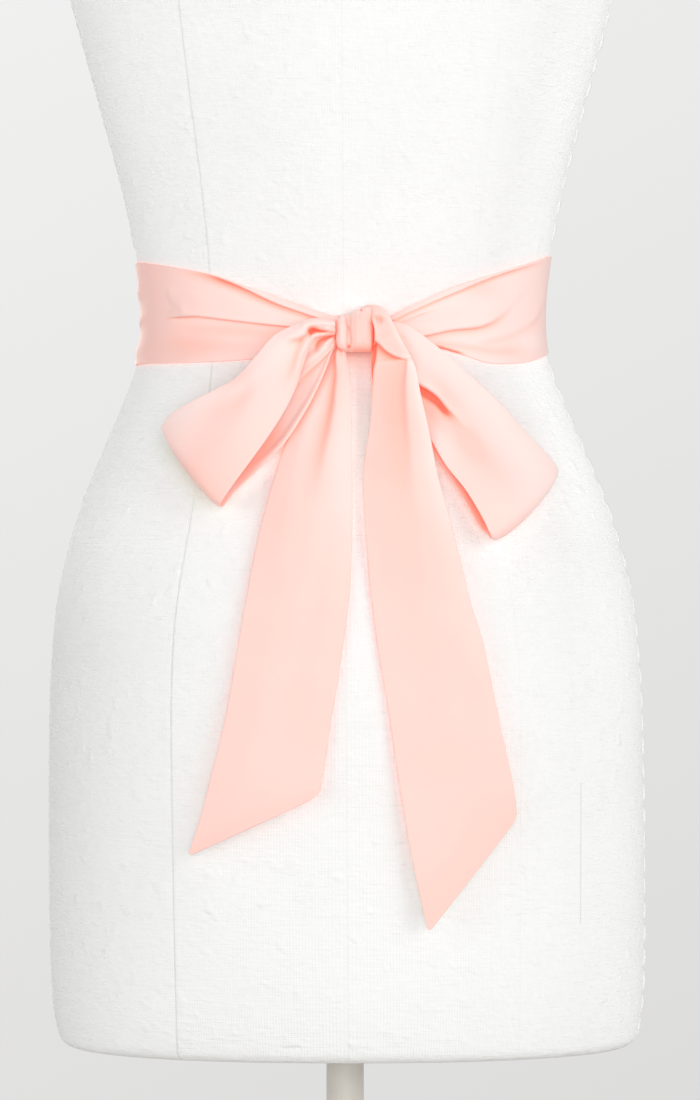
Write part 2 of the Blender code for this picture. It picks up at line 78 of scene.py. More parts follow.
def hump(away, reach):
    return np.exp(-(away / reach) ** 2)


def stepAcross(away, sharp):
    # rises from 0 to 1 where a turn of cloth lies over the next one
    return 0.5 * (1 + np.tanh(1.5 * away / sharp))


def overhang(away, sharp):
    # how far the upper turn is drawn out over the lower one, at most 1
    return math.sqrt(math.e) * (away / sharp) * np.exp(-away**2 / (2 * sharp**2))


def withLightPatches(paintedLight, lightPatches, along, across):
    for atAlong, atAcross, reachAlong, reachAcross, amount in lightPatches:
        paintedLight = paintedLight + amount * hump(along - atAlong, reachAlong) * hump(across - atAcross, reachAcross)
    return paintedLight


# The form's shape, shared by everything that lies on it.
formShape = {
    "sectionPower": 2.2,
    "lean": -0.0065,
    "leanFrom": -180.0,
    "bustRise": 150.0,
    "bustSide": 78.0,
    "bustSpread": 50.0,
    "bustDepth": 22.0,
    "foot": -448.0,
    "footEdge": 7.0,
    "neckTop": 484.0,
}

formRows = table(
    "rise halfWidth back front forward",
    (-448, 176.0, 104.0, 97.0, 0.0),
    (-425, 180.2, 110.0, 102.0, 0.0),
    (-391, 181.8, 114.5, 105.0, 0.0),
    (-317, 182.3, 122.0, 106.0, 0.0),
    (-268, 181.7, 126.0, 107.0, 0.0),
    (-219, 180.2, 128.0, 109.0, 0.0),
    (-170, 175.0, 125.0, 110.0, 0.0),
    (-120, 161.7, 114.0, 107.0, 0.0),
    (-83, 146.8, 103.5, 101.5, 0.0),
    (-55, 134.8, 95.5, 97.0, 0.0),
    (-28, 125.4, 90.0, 94.0, 0.0),
    (0, 123.0, 88.0, 93.0, 0.0),
    (40, 127.6, 90.0, 96.0, 0.0),
    (70, 133.2, 93.0, 100.0, 0.0),
    (132, 149.4, 101.0, 108.0, 0.0),
    (193, 165.7, 107.0, 110.0, 0.0),
    (260, 181.0, 109.0, 106.0, 0.0),
    (320, 185.0, 105.0, 98.0, 0.0),
    (360, 181.0, 95.0, 88.0, 2.0),
    (380, 168.0, 86.0, 80.0, 4.0),
    (397, 132.0, 77.0, 72.0, 7.0),
    (410, 92.0, 68.0, 64.0, 10.0),
    (423, 66.0, 60.0, 57.0, 13.0),
    (445, 57.0, 55.0, 53.0, 16.0),
    (484, 55.0, 53.0, 52.0, 20.0),
)
denseRise = np.arange(formShape["foot"], formShape["neckTop"] + 0.5, 1.0)
denseForm = {name: curve(formRows["rise"], formRows[name], denseRise) for name in formRows}


def formAt(name, rise):
    return np.interp(rise, denseRise, denseForm[name])


def leanAt(rise):
    return formShape["lean"] * (rise - formShape["leanFrom"])


def bust(x, rise):
    total = 0.0
    for side in (-1, 1):
        away = (x - side * formShape["bustSide"]) ** 2 + (rise - formShape["bustRise"]) ** 2
        total = total + formShape["bustDepth"] * np.exp(-away / formShape["bustSpread"] ** 2)
    return total


def formPoint(angle, rise, out=0.0):
    # place on the form in mm, by the angle from the middle of its back towards +X
    sine, cosine = np.sin(np.radians(angle)), np.cos(np.radians(angle))
    power = 2 / formShape["sectionPower"]
    x = signedPower(sine, power) * (formAt("halfWidth", rise) + out)
    depth = np.where(cosine > 0, formAt("back", rise), formAt("front", rise))
    y = -signedPower(cosine, power) * (depth + out)
    y = y + np.where(cosine < 0, bust(x, rise) * np.abs(cosine), 0.0) + formAt("forward", rise)
    return np.stack([x + leanAt(rise), y, rise + waistHeight + 0 * x], -1)


def onBack(x, rise, lift):
    # place off the form's back in mm, by x, the rise from the knot and how far it stands off
    formRise = rise + knotHeight - waistHeight
    share = np.minimum(np.abs(x - leanAt(formRise)) / formAt("halfWidth", formRise), 0.999)
    power = formShape["sectionPower"]
    depth = formAt("back", formRise) * (1 - share**power) ** (1 / power)
    return np.stack([x, -(depth + lift), rise + knotHeight], -1)


# Meshes.
def signedVolume(points, faces):
    a, b, c, d = (points[faces[:, i]] for i in range(4))
    return np.sum(np.einsum("ij,ij->i", a, np.cross(b, c)) + np.einsum("ij,ij->i", a, np.cross(c, d)))


def addPiece(name, points, faces, material, uv=None, marks=None, wrap=None):
    # points in mm, quads as index rows, marks as named values per point; wrap is one turn in u
    faces = np.asarray(faces)
    if signedVolume(points, faces) < 0:
        faces = faces[:, ::-1]
    mesh = bpy.data.meshes.new(name)
    mesh.from_pydata((points * mm).tolist(), [], faces.tolist())
    mesh.validate()
    mesh.update()
    corners = np.zeros(len(mesh.loops), dtype=np.int32)
    mesh.loops.foreach_get("vertex_index", corners)
    if uv is not None:
        places = uv[corners].reshape(-1, 4, 2)
        if wrap:
            across = places[..., 0]
            across[across < across.max(1, keepdims=True) - wrap / 2] += wrap
        layer = mesh.uv_layers.new(name="cloth")
        layer.data.foreach_set("uv", (places * mm).astype(np.float32).ravel())
    for mark, values in (marks or {}).items():
        attribute = mesh.attributes.new(name=mark, type="FLOAT", domain="POINT")
        attribute.data.foreach_set("value", np.asarray(values, np.float32))
    mesh.shade_smooth()
    mesh.materials.append(material)
    piece = bpy.data.objects.new(name, mesh)
    bpy.context.scene.collection.objects.link(piece)
    return piece


def gridQuads(index):
    return np.stack([index[:-1, :-1], index[:-1, 1:], index[1:, 1:], index[1:, :-1]], -1).reshape(-1, 4)


def gridNormals(grid):
    along, across = np.gradient(grid, axis=0), np.gradient(grid, axis=1)
    normals = np.cross(along, across)
    return normals / np.maximum(np.linalg.norm(normals, axis=-1, keepdims=True), 1e-9)


def clothShell(name, grid, wall, edge, material, uv, marks):
    # closes a sheet's middle surface into a soft wall; edge is how far each point is from the rim
    rows, columns = grid.shape[:2]
    half = wall / 2
    round01 = np.clip(edge / (half * 1.3), 0, 1)
    skin = (half * np.sqrt(np.maximum(1 - (1 - round01) ** 2, 0)))[..., None] * gridNormals(grid)
    front = np.arange(rows * columns).reshape(rows, columns)
    rim = np.zeros((rows, columns), bool)
    rim[[0, -1], :] = True
    rim[:, [0, -1]] = True
    back = front.copy()
    inside = ~rim
    back[inside] = rows * columns + np.arange(inside.sum())
    middle = np.where(rim[..., None], grid, grid + skin)
    points = np.concatenate([middle.reshape(-1, 3), (grid - skin)[inside]])
    faces = np.concatenate([gridQuads(front), gridQuads(back)[:, ::-1]])
    both = {key: np.concatenate([m.ravel(), m[inside]]) for key, m in marks.items()}
    return addPiece(name, points, faces, material, np.concatenate([uv.reshape(-1, 2), uv[inside]]), both)


def lathe(name, profile, material, segments=96, centre=(0.0, 0.0), closed=False):
    # turns a list of (radius, height) about a vertical axis
    profile = np.array(profile, float)
    turn = np.linspace(0, 2 * np.pi, segments, endpoint=False)
    ring = np.stack([np.cos(turn), np.sin(turn)], -1)
    points = np.concatenate([
        np.column_stack([ring * r + centre, np.full(segments, z)]) for r, z in profile
    ])
    count = len(profile)
    faces = []
    for i in range(count if closed else count - 1):
        low, high = i * segments, ((i + 1) % count) * segments
        j = np.arange(segments)
        k = (j + 1) % segments
        faces.append(np.stack([low + j, low + k, high + k, high + j], -1))
    length = np.concatenate([[0], np.cumsum(np.hypot(*np.diff(profile, axis=0).T))])
    wrapRadius = 20     # mm, for the spacing of what is drawn round it
    uv = np.concatenate([np.column_stack([turn * wrapRadius, np.full(segments, at)]) for at in length])
    return addPiece(name, points, np.concatenate(faces), material, uv, wrap=2 * np.pi * wrapRadius)


def arc(centre, radius, start, end, steps=5):
    turns = np.radians(np.linspace(start, end, steps))
    return [(centre[0] + radius * math.cos(t), centre[1] + radius * math.sin(t)) for t in turns]


# Folds of the cloth.
def lap(path, depth, reach=(8, 8), sharp=1.2, over=1.4, fade=(1, 1), tint=1.0, shade=2.5, drop=False):
    # one side stands proud and hangs a little over the other; with drop the other side sinks instead.
    # shade is how far the painted crease shade reaches on the low side, and tint is how strong it is
    return dict(path=path, depth=depth, reach=reach, sharp=sharp, over=over, fade=fade, tint=tint,
                shade=shade, lap=True, drop=drop)


def soft(path, depth, reach=(5, 5), fade=(1, 1), tint=0.5):
    # a ridge, or a trough where depth is negative; a trough also gets painted crease shade, as strong as tint
    return dict(path=path, depth=depth, reach=reach, fade=fade, tint=tint, lap=False)


def foldEffects(folds, along, awayFrom, steepness):
    # lift, shift towards the proud side, and painted crease shade that all the folds give together;
    # steepness turns a path's slope into mm across for each mm along
    lift, shift, creaseShade = np.zeros_like(along), np.zeros_like(along), np.zeros_like(along)
    for fold in folds:
        path = np.array(fold["path"], float)
        ends = path[[0, -1], 0]
        way = curve(path[:, 0], path[:, 1], along)
        slope = (curve(path[:, 0], path[:, 1], along + 0.01) - way) / 0.01 * steepness
        away = awayFrom(way) / np.hypot(1, slope)
        strength = ease((along - ends[0]) / fold["fade"][0]) * ease((ends[1] - along) / fold["fade"][1])
        reach = np.interp(along, ends, fold["reach"])
        if not fold["lap"]:
            lift += strength * fold["depth"] * hump(away, reach)
            if fold["depth"] < 0:
                creaseShade += strength * fold["tint"] * hump(away, reach * 0.8)
            continue
        sharp = np.interp(along, ends, np.broadcast_to(fold["sharp"], 2))
        shade = np.interp(along, ends, np.broadcast_to(fold["shade"], 2))
        step = stepAcross(away, sharp)
        low, high = np.minimum(away, 0), np.maximum(away, 0)
        if fold["drop"]:
            lift -= strength * fold["depth"] * (1 - step) * hump(low, reach)
        else:
            lift += strength * fold["depth"] * step * hump(high, reach)
        shift -= strength * fold["over"] * overhang(away, sharp)
        creaseShade += strength * fold["tint"] * (1 - step) * hump(low, shade)
    return lift, shift, np.clip(creaseShade, 0, 1)


def acrossPlaces(count, width, edgeSteps=(0.0, 0.1, 0.3, 0.6)):
    # even columns with a few close ones along both edges
    near = np.array(edgeSteps) / width
    return np.concatenate([near, np.linspace(1.2 / width, 1 - 1.2 / width, count), 1 - near[::-1]])


# Materials.
def newMaterial(name):
    material = bpy.data.materials.new(name)
    material.use_nodes = True
    tree = material.node_tree
    return material, tree, tree.nodes["Principled BSDF"]


def addNode(tree, kind, values=None, **settings):
    node = tree.nodes.new(kind)
    for key, value in settings.items():
        setattr(node, key, value)
    for key, value in (values or {}).items():
        node.inputs[key].default_value = value
    return node


def stretched(tree, source, scale):
    node = addNode(tree, "ShaderNodeMapping", {"Scale": scale})
    tree.links.new(source, node.inputs["Vector"])
    return node.outputs["Vector"]


def noise(tree, vector, scale, detail=3.0, roughness=0.55):
    node = addNode(tree, "ShaderNodeTexNoise", {"Scale": scale, "Detail": detail, "Roughness": roughness})
    tree.links.new(vector, node.inputs["Vector"])
    return node.outputs["Fac"]


def setShader(shader, values):
    for key, value in values.items():
        shader.inputs[key].default_value = value


def calc(tree, operation, first, second=None, clamp=False):
    node = addNode(tree, "ShaderNodeMath", operation=operation, use_clamp=clamp)
    for i, value in enumerate((first, second)):
        if value is None:
            continue
        if isinstance(value, (int, float)):
            node.inputs[i].default_value = value
        else:
            tree.links.new(value, node.inputs[i])
    return node.outputs[0]


def product(tree, first, *others):
    for other in others:
        first = calc(tree, "MULTIPLY", first, other)
    return first


def ramp(tree, value, low, high, outLow=0.0, outHigh=1.0):
    node = addNode(tree, "ShaderNodeMapRange", {
        "From Min": low, "From Max": high, "To Min": outLow, "To Max": outHigh})
    tree.links.new(value, node.inputs["Value"])
    return node.outputs["Result"]


def mixColor(tree, amount, first, second):
    node = addNode(tree, "ShaderNodeMix", data_type="RGBA")
    for i, value in ((0, amount), (6, first), (7, second)):
        if isinstance(value, tuple):
            node.inputs[i].default_value = (*value, 1.0)
        elif isinstance(value, (int, float)):
            node.inputs[i].default_value = value
        else:
            tree.links.new(value, node.inputs[i])
    return node.outputs[2]


def bands(tree, vector, values, direction):
    node = addNode(tree, "ShaderNodeTexWave", values, wave_type="BANDS", bands_direction=direction)
    tree.links.new(vector, node.inputs["Vector"])
    return node.outputs["Fac"]


def bump(tree, height, distance, strength=1.0, below=None):
    node = addNode(tree, "ShaderNodeBump", {"Strength": strength, "Distance": distance})
    tree.links.new(height, node.inputs["Height"])
    if below is not None:
        tree.links.new(below, node.inputs["Normal"])
    return node.outputs["Normal"]


def textureNode(tree, output="Object"):
    return addNode(tree, "ShaderNodeTexCoord").outputs[output]


def attributeNode(tree, name):
    return addNode(tree, "ShaderNodeAttribute", attribute_name=name).outputs["Fac"]


def axesOf(tree, vector):
    node = addNode(tree, "ShaderNodeSeparateXYZ")
    tree.links.new(vector, node.inputs[0])
    return node.outputs


def openness(tree, reach):
    # 1 in the open, towards 0 in a hollow
    return addNode(tree, "ShaderNodeAmbientOcclusion", {"Distance": reach}, samples=6).outputs["AO"]


black = (0.0, 0.0, 0.0)

satinLook = {
    "color": (0.97, 0.585, 0.52),
    "paintedLight": (1.0, 0.765, 0.72),      # where it takes the light full on
    # painted light and shade: the colours of folds and hollows, and the painted glow there, stand in for
    # light bouncing inside the folds
    "fold": (1.0, 0.26, 0.15),         # light that has bounced inside a fold
    "pocket": (0.93, 0.09, 0.04),      # and in the deepest of them
    "glow": (0.30, 0.09, 0.06),
    "deepGlow": (0.40, 0.04, 0.015),
    "foldReach": 0.011,
    "roughness": 0.46,
    "sheen": 0.22,
    "threadsPerMetre": 2600.0,
}


def makeSatin():
    material, tree, shader = newMaterial("peachSatin")
    uv = addNode(tree, "ShaderNodeUVMap", uv_map="cloth").outputs["UV"]
    # painted light: the satin turns paler where the paintedLight mark says it takes more light, with a little
    # random drift
    broad = ramp(tree, noise(tree, uv, 14.0, 2.0), 0.35, 0.65, -0.08, 0.08)
    paintedLight = calc(tree, "ADD", attributeNode(tree, "paintedLight"), broad, clamp=True)
    color = mixColor(tree, paintedLight, satinLook["color"], satinLook["paintedLight"])
    # painted shade: ambient occlusion and the painted crease shade mark turn hollows and creases towards the
    # fold colours
    hollow = openness(tree, satinLook["foldReach"])
    deep = ramp(tree, hollow, 0.08, 0.62, 0.9, 0.0)
    deep = calc(tree, "MAXIMUM", deep, product(tree, attributeNode(tree, "creaseShade"), 0.85))
    foldColor = mixColor(tree, ramp(tree, deep, 0.55, 0.86), satinLook["fold"], satinLook["pocket"])
    color = mixColor(tree, deep, color, foldColor)
    tree.links.new(color, shader.inputs["Base Color"])
    # painted glow in folds and hollows, standing in for light that bounces inside them
    glow = mixColor(tree, deep, satinLook["glow"], satinLook["deepGlow"])
    shut = calc(tree, "MAXIMUM", deep, ramp(tree, hollow, 0.3, 0.82, 1.0, 0.0))
    tree.links.new(mixColor(tree, shut, black, glow), shader.inputs["Emission Color"])
    # long floats of the satin weave run along the strip, short binding points across it
    threads = noise(tree, stretched(tree, uv, (0.12, 1.0, 1.0)), satinLook["threadsPerMetre"], 2.0)
    binding = noise(tree, stretched(tree, uv, (1.0, 0.5, 1.0)), satinLook["threadsPerMetre"] * 0.6, 1.0)
    weave = calc(tree, "ADD", threads, product(tree, binding, 0.6))
    slack = noise(tree, stretched(tree, uv, (0.35, 1.0, 1.0)), 70.0, 2.0)
    normal = bump(tree, slack, 0.0006, 0.35)
    normal = bump(tree, weave, 0.00006, 0.5, normal)
    tree.links.new(normal, shader.inputs["Normal"])
    tree.links.new(ramp(tree, weave, 0.5, 1.1, satinLook["roughness"] - 0.04, satinLook["roughness"] + 0.05),
                   shader.inputs["Roughness"])
    setShader(shader, {
        "Emission Strength": 1.0, "IOR": 1.42, "Specular IOR Level": 0.42, "Anisotropic": 0.3,
        "Sheen Weight": satinLook["sheen"], "Sheen Roughness": 0.45, "Sheen Tint": (1.0, 0.86, 0.80, 1.0)})
    return material


linenLook = {
    "color": (0.865, 0.865, 0.860),
    "shade": (0.840, 0.840, 0.828),
    "slub": (0.78, 0.772, 0.745),
    "seam": (0.62, 0.60, 0.565),
    "speck": (0.52, 0.40, 0.28),
    "speckScale": 42.0,
    "speckSize": 0.016,
    "speckRarity": 0.86,               # nearer to 1 leaves fewer of them
    "threadsPerMetre": 900.0,
    "blush": (0.96, 0.90, 0.885),      # light the satin throws on the linen beside it
    "blushReach": 0.022,
    "glow": (0.10, 0.24, 0.235),
    "deepGlow": (0.19, 0.09, 0.07),    # red light right at the edges of the sash
    "edgeGlow": (0.0, 0.075, 0.075),   # clears the pink from the linen a little further off
    "gapGlow": (0.23, 0.44, 0.43),     # light let in between the tails
    "sideGlow": (0.20, 0.202, 0.202),  # light from the sides of the room
    "underKnot": (0.78, 0.50, 0.42),
    "underKnotFrom": 0.6315,           # height in metres, and how far down it fades
    "underKnotReach": 0.020,
    "underKnotX": 0.0035,
    # metres to each side of that, over which the shade and the light between the tails fade out
    "underKnotEdge": (0.012, 0.020),
    "gapEdge": (0.012, 0.017),
    # painted shadow of the left loop, by metres out from the loop's end and along it
    "loopShade": (0.79, 0.83, 0.77),
    "loopShadeStart": (-0.1075, 0.5843),
    "loopShadeSlope": (0.606, -0.796),
    "loopShadeInner": (-0.020, -0.010),
    "loopShadeOuter": (0.005, 0.015),
    "loopShadeFrom": (-0.004, 0.010),
    "loopShadeTo": (0.040, 0.066),
    # heights in metres over which each light comes in or goes out
    "gapLow": (0.500, 0.535),
    "gapHigh": (0.598, 0.622),
    "rightLow": (0.38, 0.52),
    "waistLow": (0.515, 0.565),
    "waistHigh": (0.630, 0.660),
    "leftLow": (0.455, 0.525),
    # how strong the light from the sides is
    "rightGain": 0.85,
    "rightLowGain": 0.55,
    "waistGain": 0.42,
    "leftGain": 0.36,
    "slubScale": 620.0,
    "grainScale": 240.0,
    "lumpScale": 95.0,
    "dartX": 0.140,
    "dartBottom": 0.293,
    "dartTop": 0.377,
    "dartHalfWidth": 0.00035,
}


def makeLinen():
    look = linenLook
    material, tree, shader = newMaterial("paleLinen")
    uv = addNode(tree, "ShaderNodeUVMap", uv_map="cloth").outputs["UV"]
    place = textureNode(tree)
    across, depth, height = axesOf(tree, place)
    atBack = calc(tree, "LESS_THAN", depth, 0.0)
    cloudy = noise(tree, place, 9.0, 3.0)
    color = mixColor(tree, ramp(tree, cloudy, 0.3, 0.7), look["color"], look["shade"])
    slubs = noise(tree, stretched(tree, uv, (0.16, 1.0, 1.0)), look["slubScale"], 3.0)
    color = mixColor(tree, ramp(tree, slubs, 0.60, 0.80, 0.0, 0.35), color, look["slub"])
    # a few brown flecks of husk left in the thread
    speck = addNode(tree, "ShaderNodeTexVoronoi", {"Scale": look["speckScale"]})
    tree.links.new(place, speck.inputs["Vector"])
    chosen = addNode(tree, "ShaderNodeSeparateColor")
    tree.links.new(speck.outputs["Color"], chosen.inputs[0])
    isSpeck = product(tree, calc(tree, "LESS_THAN", speck.outputs["Distance"], look["speckSize"]),
                      calc(tree, "GREATER_THAN", chosen.outputs[0], look["speckRarity"]), 0.6)
    color = mixColor(tree, isSpeck, color, look["speck"])
    color = mixColor(tree, product(tree, attributeNode(tree, "seam"), 0.8), color, look["seam"])
    # short fine line low on the right of the back
    fromDart = calc(tree, "ABSOLUTE", calc(tree, "SUBTRACT", across, look["dartX"]))
    dart = product(tree, calc(tree, "LESS_THAN", fromDart, look["dartHalfWidth"]),
                   calc(tree, "GREATER_THAN", height, look["dartBottom"]),
                   calc(tree, "LESS_THAN", height, look["dartTop"]), atBack, 0.5)
    color = mixColor(tree, dart, color, look["seam"])
    hollow = openness(tree, look["blushReach"])
    color = mixColor(tree, ramp(tree, hollow, 0.2, 0.64, 0.9, 0.0), color, look["blush"])
    # painted shadow: the knot's red shade on the linen under it
    underTop, underLow = look["underKnotFrom"], look["underKnotFrom"] - look["underKnotReach"]
    fromMiddle = calc(tree, "ABSOLUTE", calc(tree, "SUBTRACT", across, look["underKnotX"]))
    under = product(tree, calc(tree, "POWER", ramp(tree, height, underLow, underTop), 2.0),
                    ramp(tree, fromMiddle, *look["underKnotEdge"], 1.0, 0.0), atBack,
                    calc(tree, "LESS_THAN", height, underTop + 0.02))
    color = mixColor(tree, under, color, look["underKnot"])
    # painted shadow of the left loop, by the place along the loop's end and out from it
    (startX, startZ), (slopeX, slopeZ) = look["loopShadeStart"], look["loopShadeSlope"]
    fromX, fromZ = calc(tree, "SUBTRACT", across, startX), calc(tree, "SUBTRACT", height, startZ)
    along = calc(tree, "ADD", product(tree, fromX, slopeX), product(tree, fromZ, slopeZ))
    out = calc(tree, "ADD", product(tree, fromX, slopeZ), product(tree, fromZ, -slopeX))
    loopShade = product(tree, ramp(tree, out, *look["loopShadeOuter"], 1.0, 0.0),
                        ramp(tree, out, *look["loopShadeInner"]), ramp(tree, along, *look["loopShadeFrom"]),
                        ramp(tree, along, *look["loopShadeTo"], 1.0, 0.0), atBack)
    tree.links.new(mixColor(tree, loopShade, color, look["loopShade"]), shader.inputs["Base Color"])
    # light close to the sash: red at its edges, clear a little off it, bright between the tails
    glow = mixColor(tree, ramp(tree, hollow, 0.08, 0.30), look["deepGlow"], look["glow"])
    shut = product(tree, ramp(tree, hollow, 0.36, 0.66, 1.0, 0.0),
                   calc(tree, "SUBTRACT", 1.0, product(tree, under, 0.6)))
    gap = product(tree, ramp(tree, height, *look["gapLow"]), ramp(tree, height, *look["gapHigh"], 1.0, 0.0),
                  ramp(tree, fromMiddle, *look["gapEdge"], 1.0, 0.0))
    glow = mixColor(tree, gap, glow, look["gapGlow"])
    # the sides catch more light than the middle, most of all at the waist on the right
    sideways = axesOf(tree, textureNode(tree, "Normal"))[0]
    right = product(tree, ramp(tree, sideways, 0.60, 1.0, 0.0, look["rightGain"]),
                    ramp(tree, height, *look["rightLow"], look["rightLowGain"], 1.0))
    waist = product(tree, ramp(tree, height, *look["waistLow"]),
                    ramp(tree, sideways, 0.50, 0.75, 0.0, look["waistGain"]),
                    ramp(tree, height, *look["waistHigh"], 1.0, 0.0))
    left = product(tree, ramp(tree, sideways, -0.70, -0.20, look["leftGain"], 0.0),
                   ramp(tree, height, *look["leftLow"]))
    side = calc(tree, "ADD", calc(tree, "ADD", right, waist), left)
    light = mixColor(tree, ramp(tree, hollow, 0.55, 0.96, 1.0, 0.0), black, look["edgeGlow"])
    light = mixColor(tree, side, light, look["sideGlow"])
    light = mixColor(tree, shut, light, glow)
    tree.links.new(mixColor(tree, loopShade, light, black), shader.inputs["Emission Color"])
    # plain weave, slubs and lumps
    threads = {"Scale": look["threadsPerMetre"] / 20, "Distortion": 1.2, "Detail": 1.0, "Detail Scale": 3.0}
    scaled = stretched(tree, uv, (6.0, 6.0, 6.0))
    weave = calc(tree, "ADD", bands(tree, scaled, threads, "X"), bands(tree, scaled, threads, "Y"))
    grain = noise(tree, uv, look["grainScale"], 4.0, 0.6)
    lumps = ramp(tree, noise(tree, place, look["lumpScale"], 1.0), 0.60, 0.80)
    normal = bump(tree, lumps, 0.0009, 0.6)
    normal = bump(tree, grain, 0.0009, 0.7, normal)
    normal = bump(tree, slubs, 0.0006, 0.8, normal)
    normal = bump(tree, weave, 0.00018, 0.5, normal)
    tree.links.new(normal, shader.inputs["Normal"])
    tree.links.new(ramp(tree, grain, 0.3, 0.7, 0.84, 0.93), shader.inputs["Roughness"])
    setShader(shader, {"Emission Strength": 1.0, "Specular IOR Level": 0.25, "Sheen Weight": 0.12,
                       "Sheen Roughness": 0.6})
    return material


threadLook = {"color": (0.88, 0.88, 0.87), "shade": (0.81, 0.805, 0.785)}


def makeThread():
    material, tree, shader = newMaterial("linenThread")
    place = textureNode(tree)
    twist = noise(tree, place, 900.0, 2.0)
    color = mixColor(tree, ramp(tree, twist, 0.35, 0.65), threadLook["color"], threadLook["shade"])
    tree.links.new(color, shader.inputs["Base Color"])
    tree.links.new(bump(tree, twist, 0.0002, 0.6), shader.inputs["Normal"])
    tree.links.new(ramp(tree, twist, 0.3, 0.7, 0.72, 0.86), shader.inputs["Roughness"])
    setShader(shader, {"Specular IOR Level": 0.3})
    return material


paintLook = {"color": (0.68, 0.64, 0.585), "worn": (0.62, 0.58, 0.525), "roughness": 0.42}


def makePaint():
    material, tree, shader = newMaterial("ivoryPaint")
    place = textureNode(tree)
    patches = noise(tree, place, 22.0, 4.0)
    color = mixColor(tree, ramp(tree, patches, 0.42, 0.7), paintLook["color"], paintLook["worn"])
    tree.links.new(color, shader.inputs["Base Color"])
    peel = noise(tree, place, 420.0, 2.0)
    tree.links.new(bump(tree, peel, 0.0003, 0.25), shader.inputs["Normal"])
    smooth, dull = paintLook["roughness"] - 0.06, paintLook["roughness"] + 0.08
    tree.links.new(ramp(tree, patches, 0.3, 0.7, smooth, dull), shader.inputs["Roughness"])
    setShader(shader, {"Coat Weight": 0.12, "Coat Roughness": 0.3})
    return material


woodLook = {
    "light": (0.66, 0.52, 0.36),
    "dark": (0.50, 0.36, 0.22),
    "pore": (0.36, 0.25, 0.15),
    "roughness": 0.42,
}


def makeWood():
    material, tree, shader = newMaterial("paleWood")
    place = textureNode(tree)
    drift = noise(tree, place, 12.0, 3.0)
    rings = bands(tree, stretched(tree, place, (1.0, 0.22, 1.0)),
                  {"Scale": 55.0, "Distortion": 7.0, "Detail": 3.0, "Detail Scale": 1.4}, "X")
    grain = calc(tree, "ADD", product(tree, rings, 0.7), product(tree, drift, 0.5))
    color = mixColor(tree, ramp(tree, grain, 0.2, 1.0), woodLook["light"], woodLook["dark"])
    pores = noise(tree, stretched(tree, place, (1.0, 0.06, 1.0)), 900.0, 2.0)
    color = mixColor(tree, ramp(tree, pores, 0.62, 0.8, 0.0, 0.5), color, woodLook["pore"])
    tree.links.new(color, shader.inputs["Base Color"])
    tree.links.new(bump(tree, pores, 0.0002, 0.4), shader.inputs["Normal"])
    tree.links.new(ramp(tree, grain, 0.0, 1.2, woodLook["roughness"], woodLook["roughness"] + 0.14),
                   shader.inputs["Roughness"])
    setShader(shader, {"Coat Weight": 0.2, "Coat Roughness": 0.25})
    return material


satin, linen, thread, paint, wood = makeSatin(), makeLinen(), makeThread(), makePaint(), makeWood()
print("materials ready")

# Dress form.
formFinish = {
    "rowStep": 4.0,
    "seamDepth": 0.42,
    "seamHalfWidth": 0.4,
    "seamRidge": 0.08,
    # how open each seam has stayed, from the middle of the back round towards +X
    "seamOpen": (0.10, 0.10, 0.5, 0.6, 0.35, 0.6, 0.5, 0.75, 0.10),
    "poleHole": 11.8,
    "wrapRadius": 125.0,        # the cover's threads run as round a form of this radius
    "socketDepth": 80.0,
}

# how far the princess seams run from the middle, back and front alike
princessRows = table(
    "rise x",
    (-448, 101.0),
    (-326, 102.3),
    (-198, 101.0),
    (-110, 88.0),
    (-36, 78.4),
    (37, 80.7),
    (178, 96.0),
    (290, 104.0),
    (352, 100.0),
    (390, 74.0),
    (412, 46.0),
    (440, 34.0),
    (484, 31.0),
)


def seamAngles(rise):
    # angles of the eight seams at one rise, from the middle of the back round to it again
    share = np.clip(curve(princessRows["rise"], princessRows["x"], rise) / formAt("halfWidth", rise), 0, 0.93)
    princess = np.degrees(np.arcsin(share ** (formShape["sectionPower"] / 2)))
    return np.array([0, princess, 90, 180 - princess, 180, 180 + princess, 270, 360 - princess, 360])


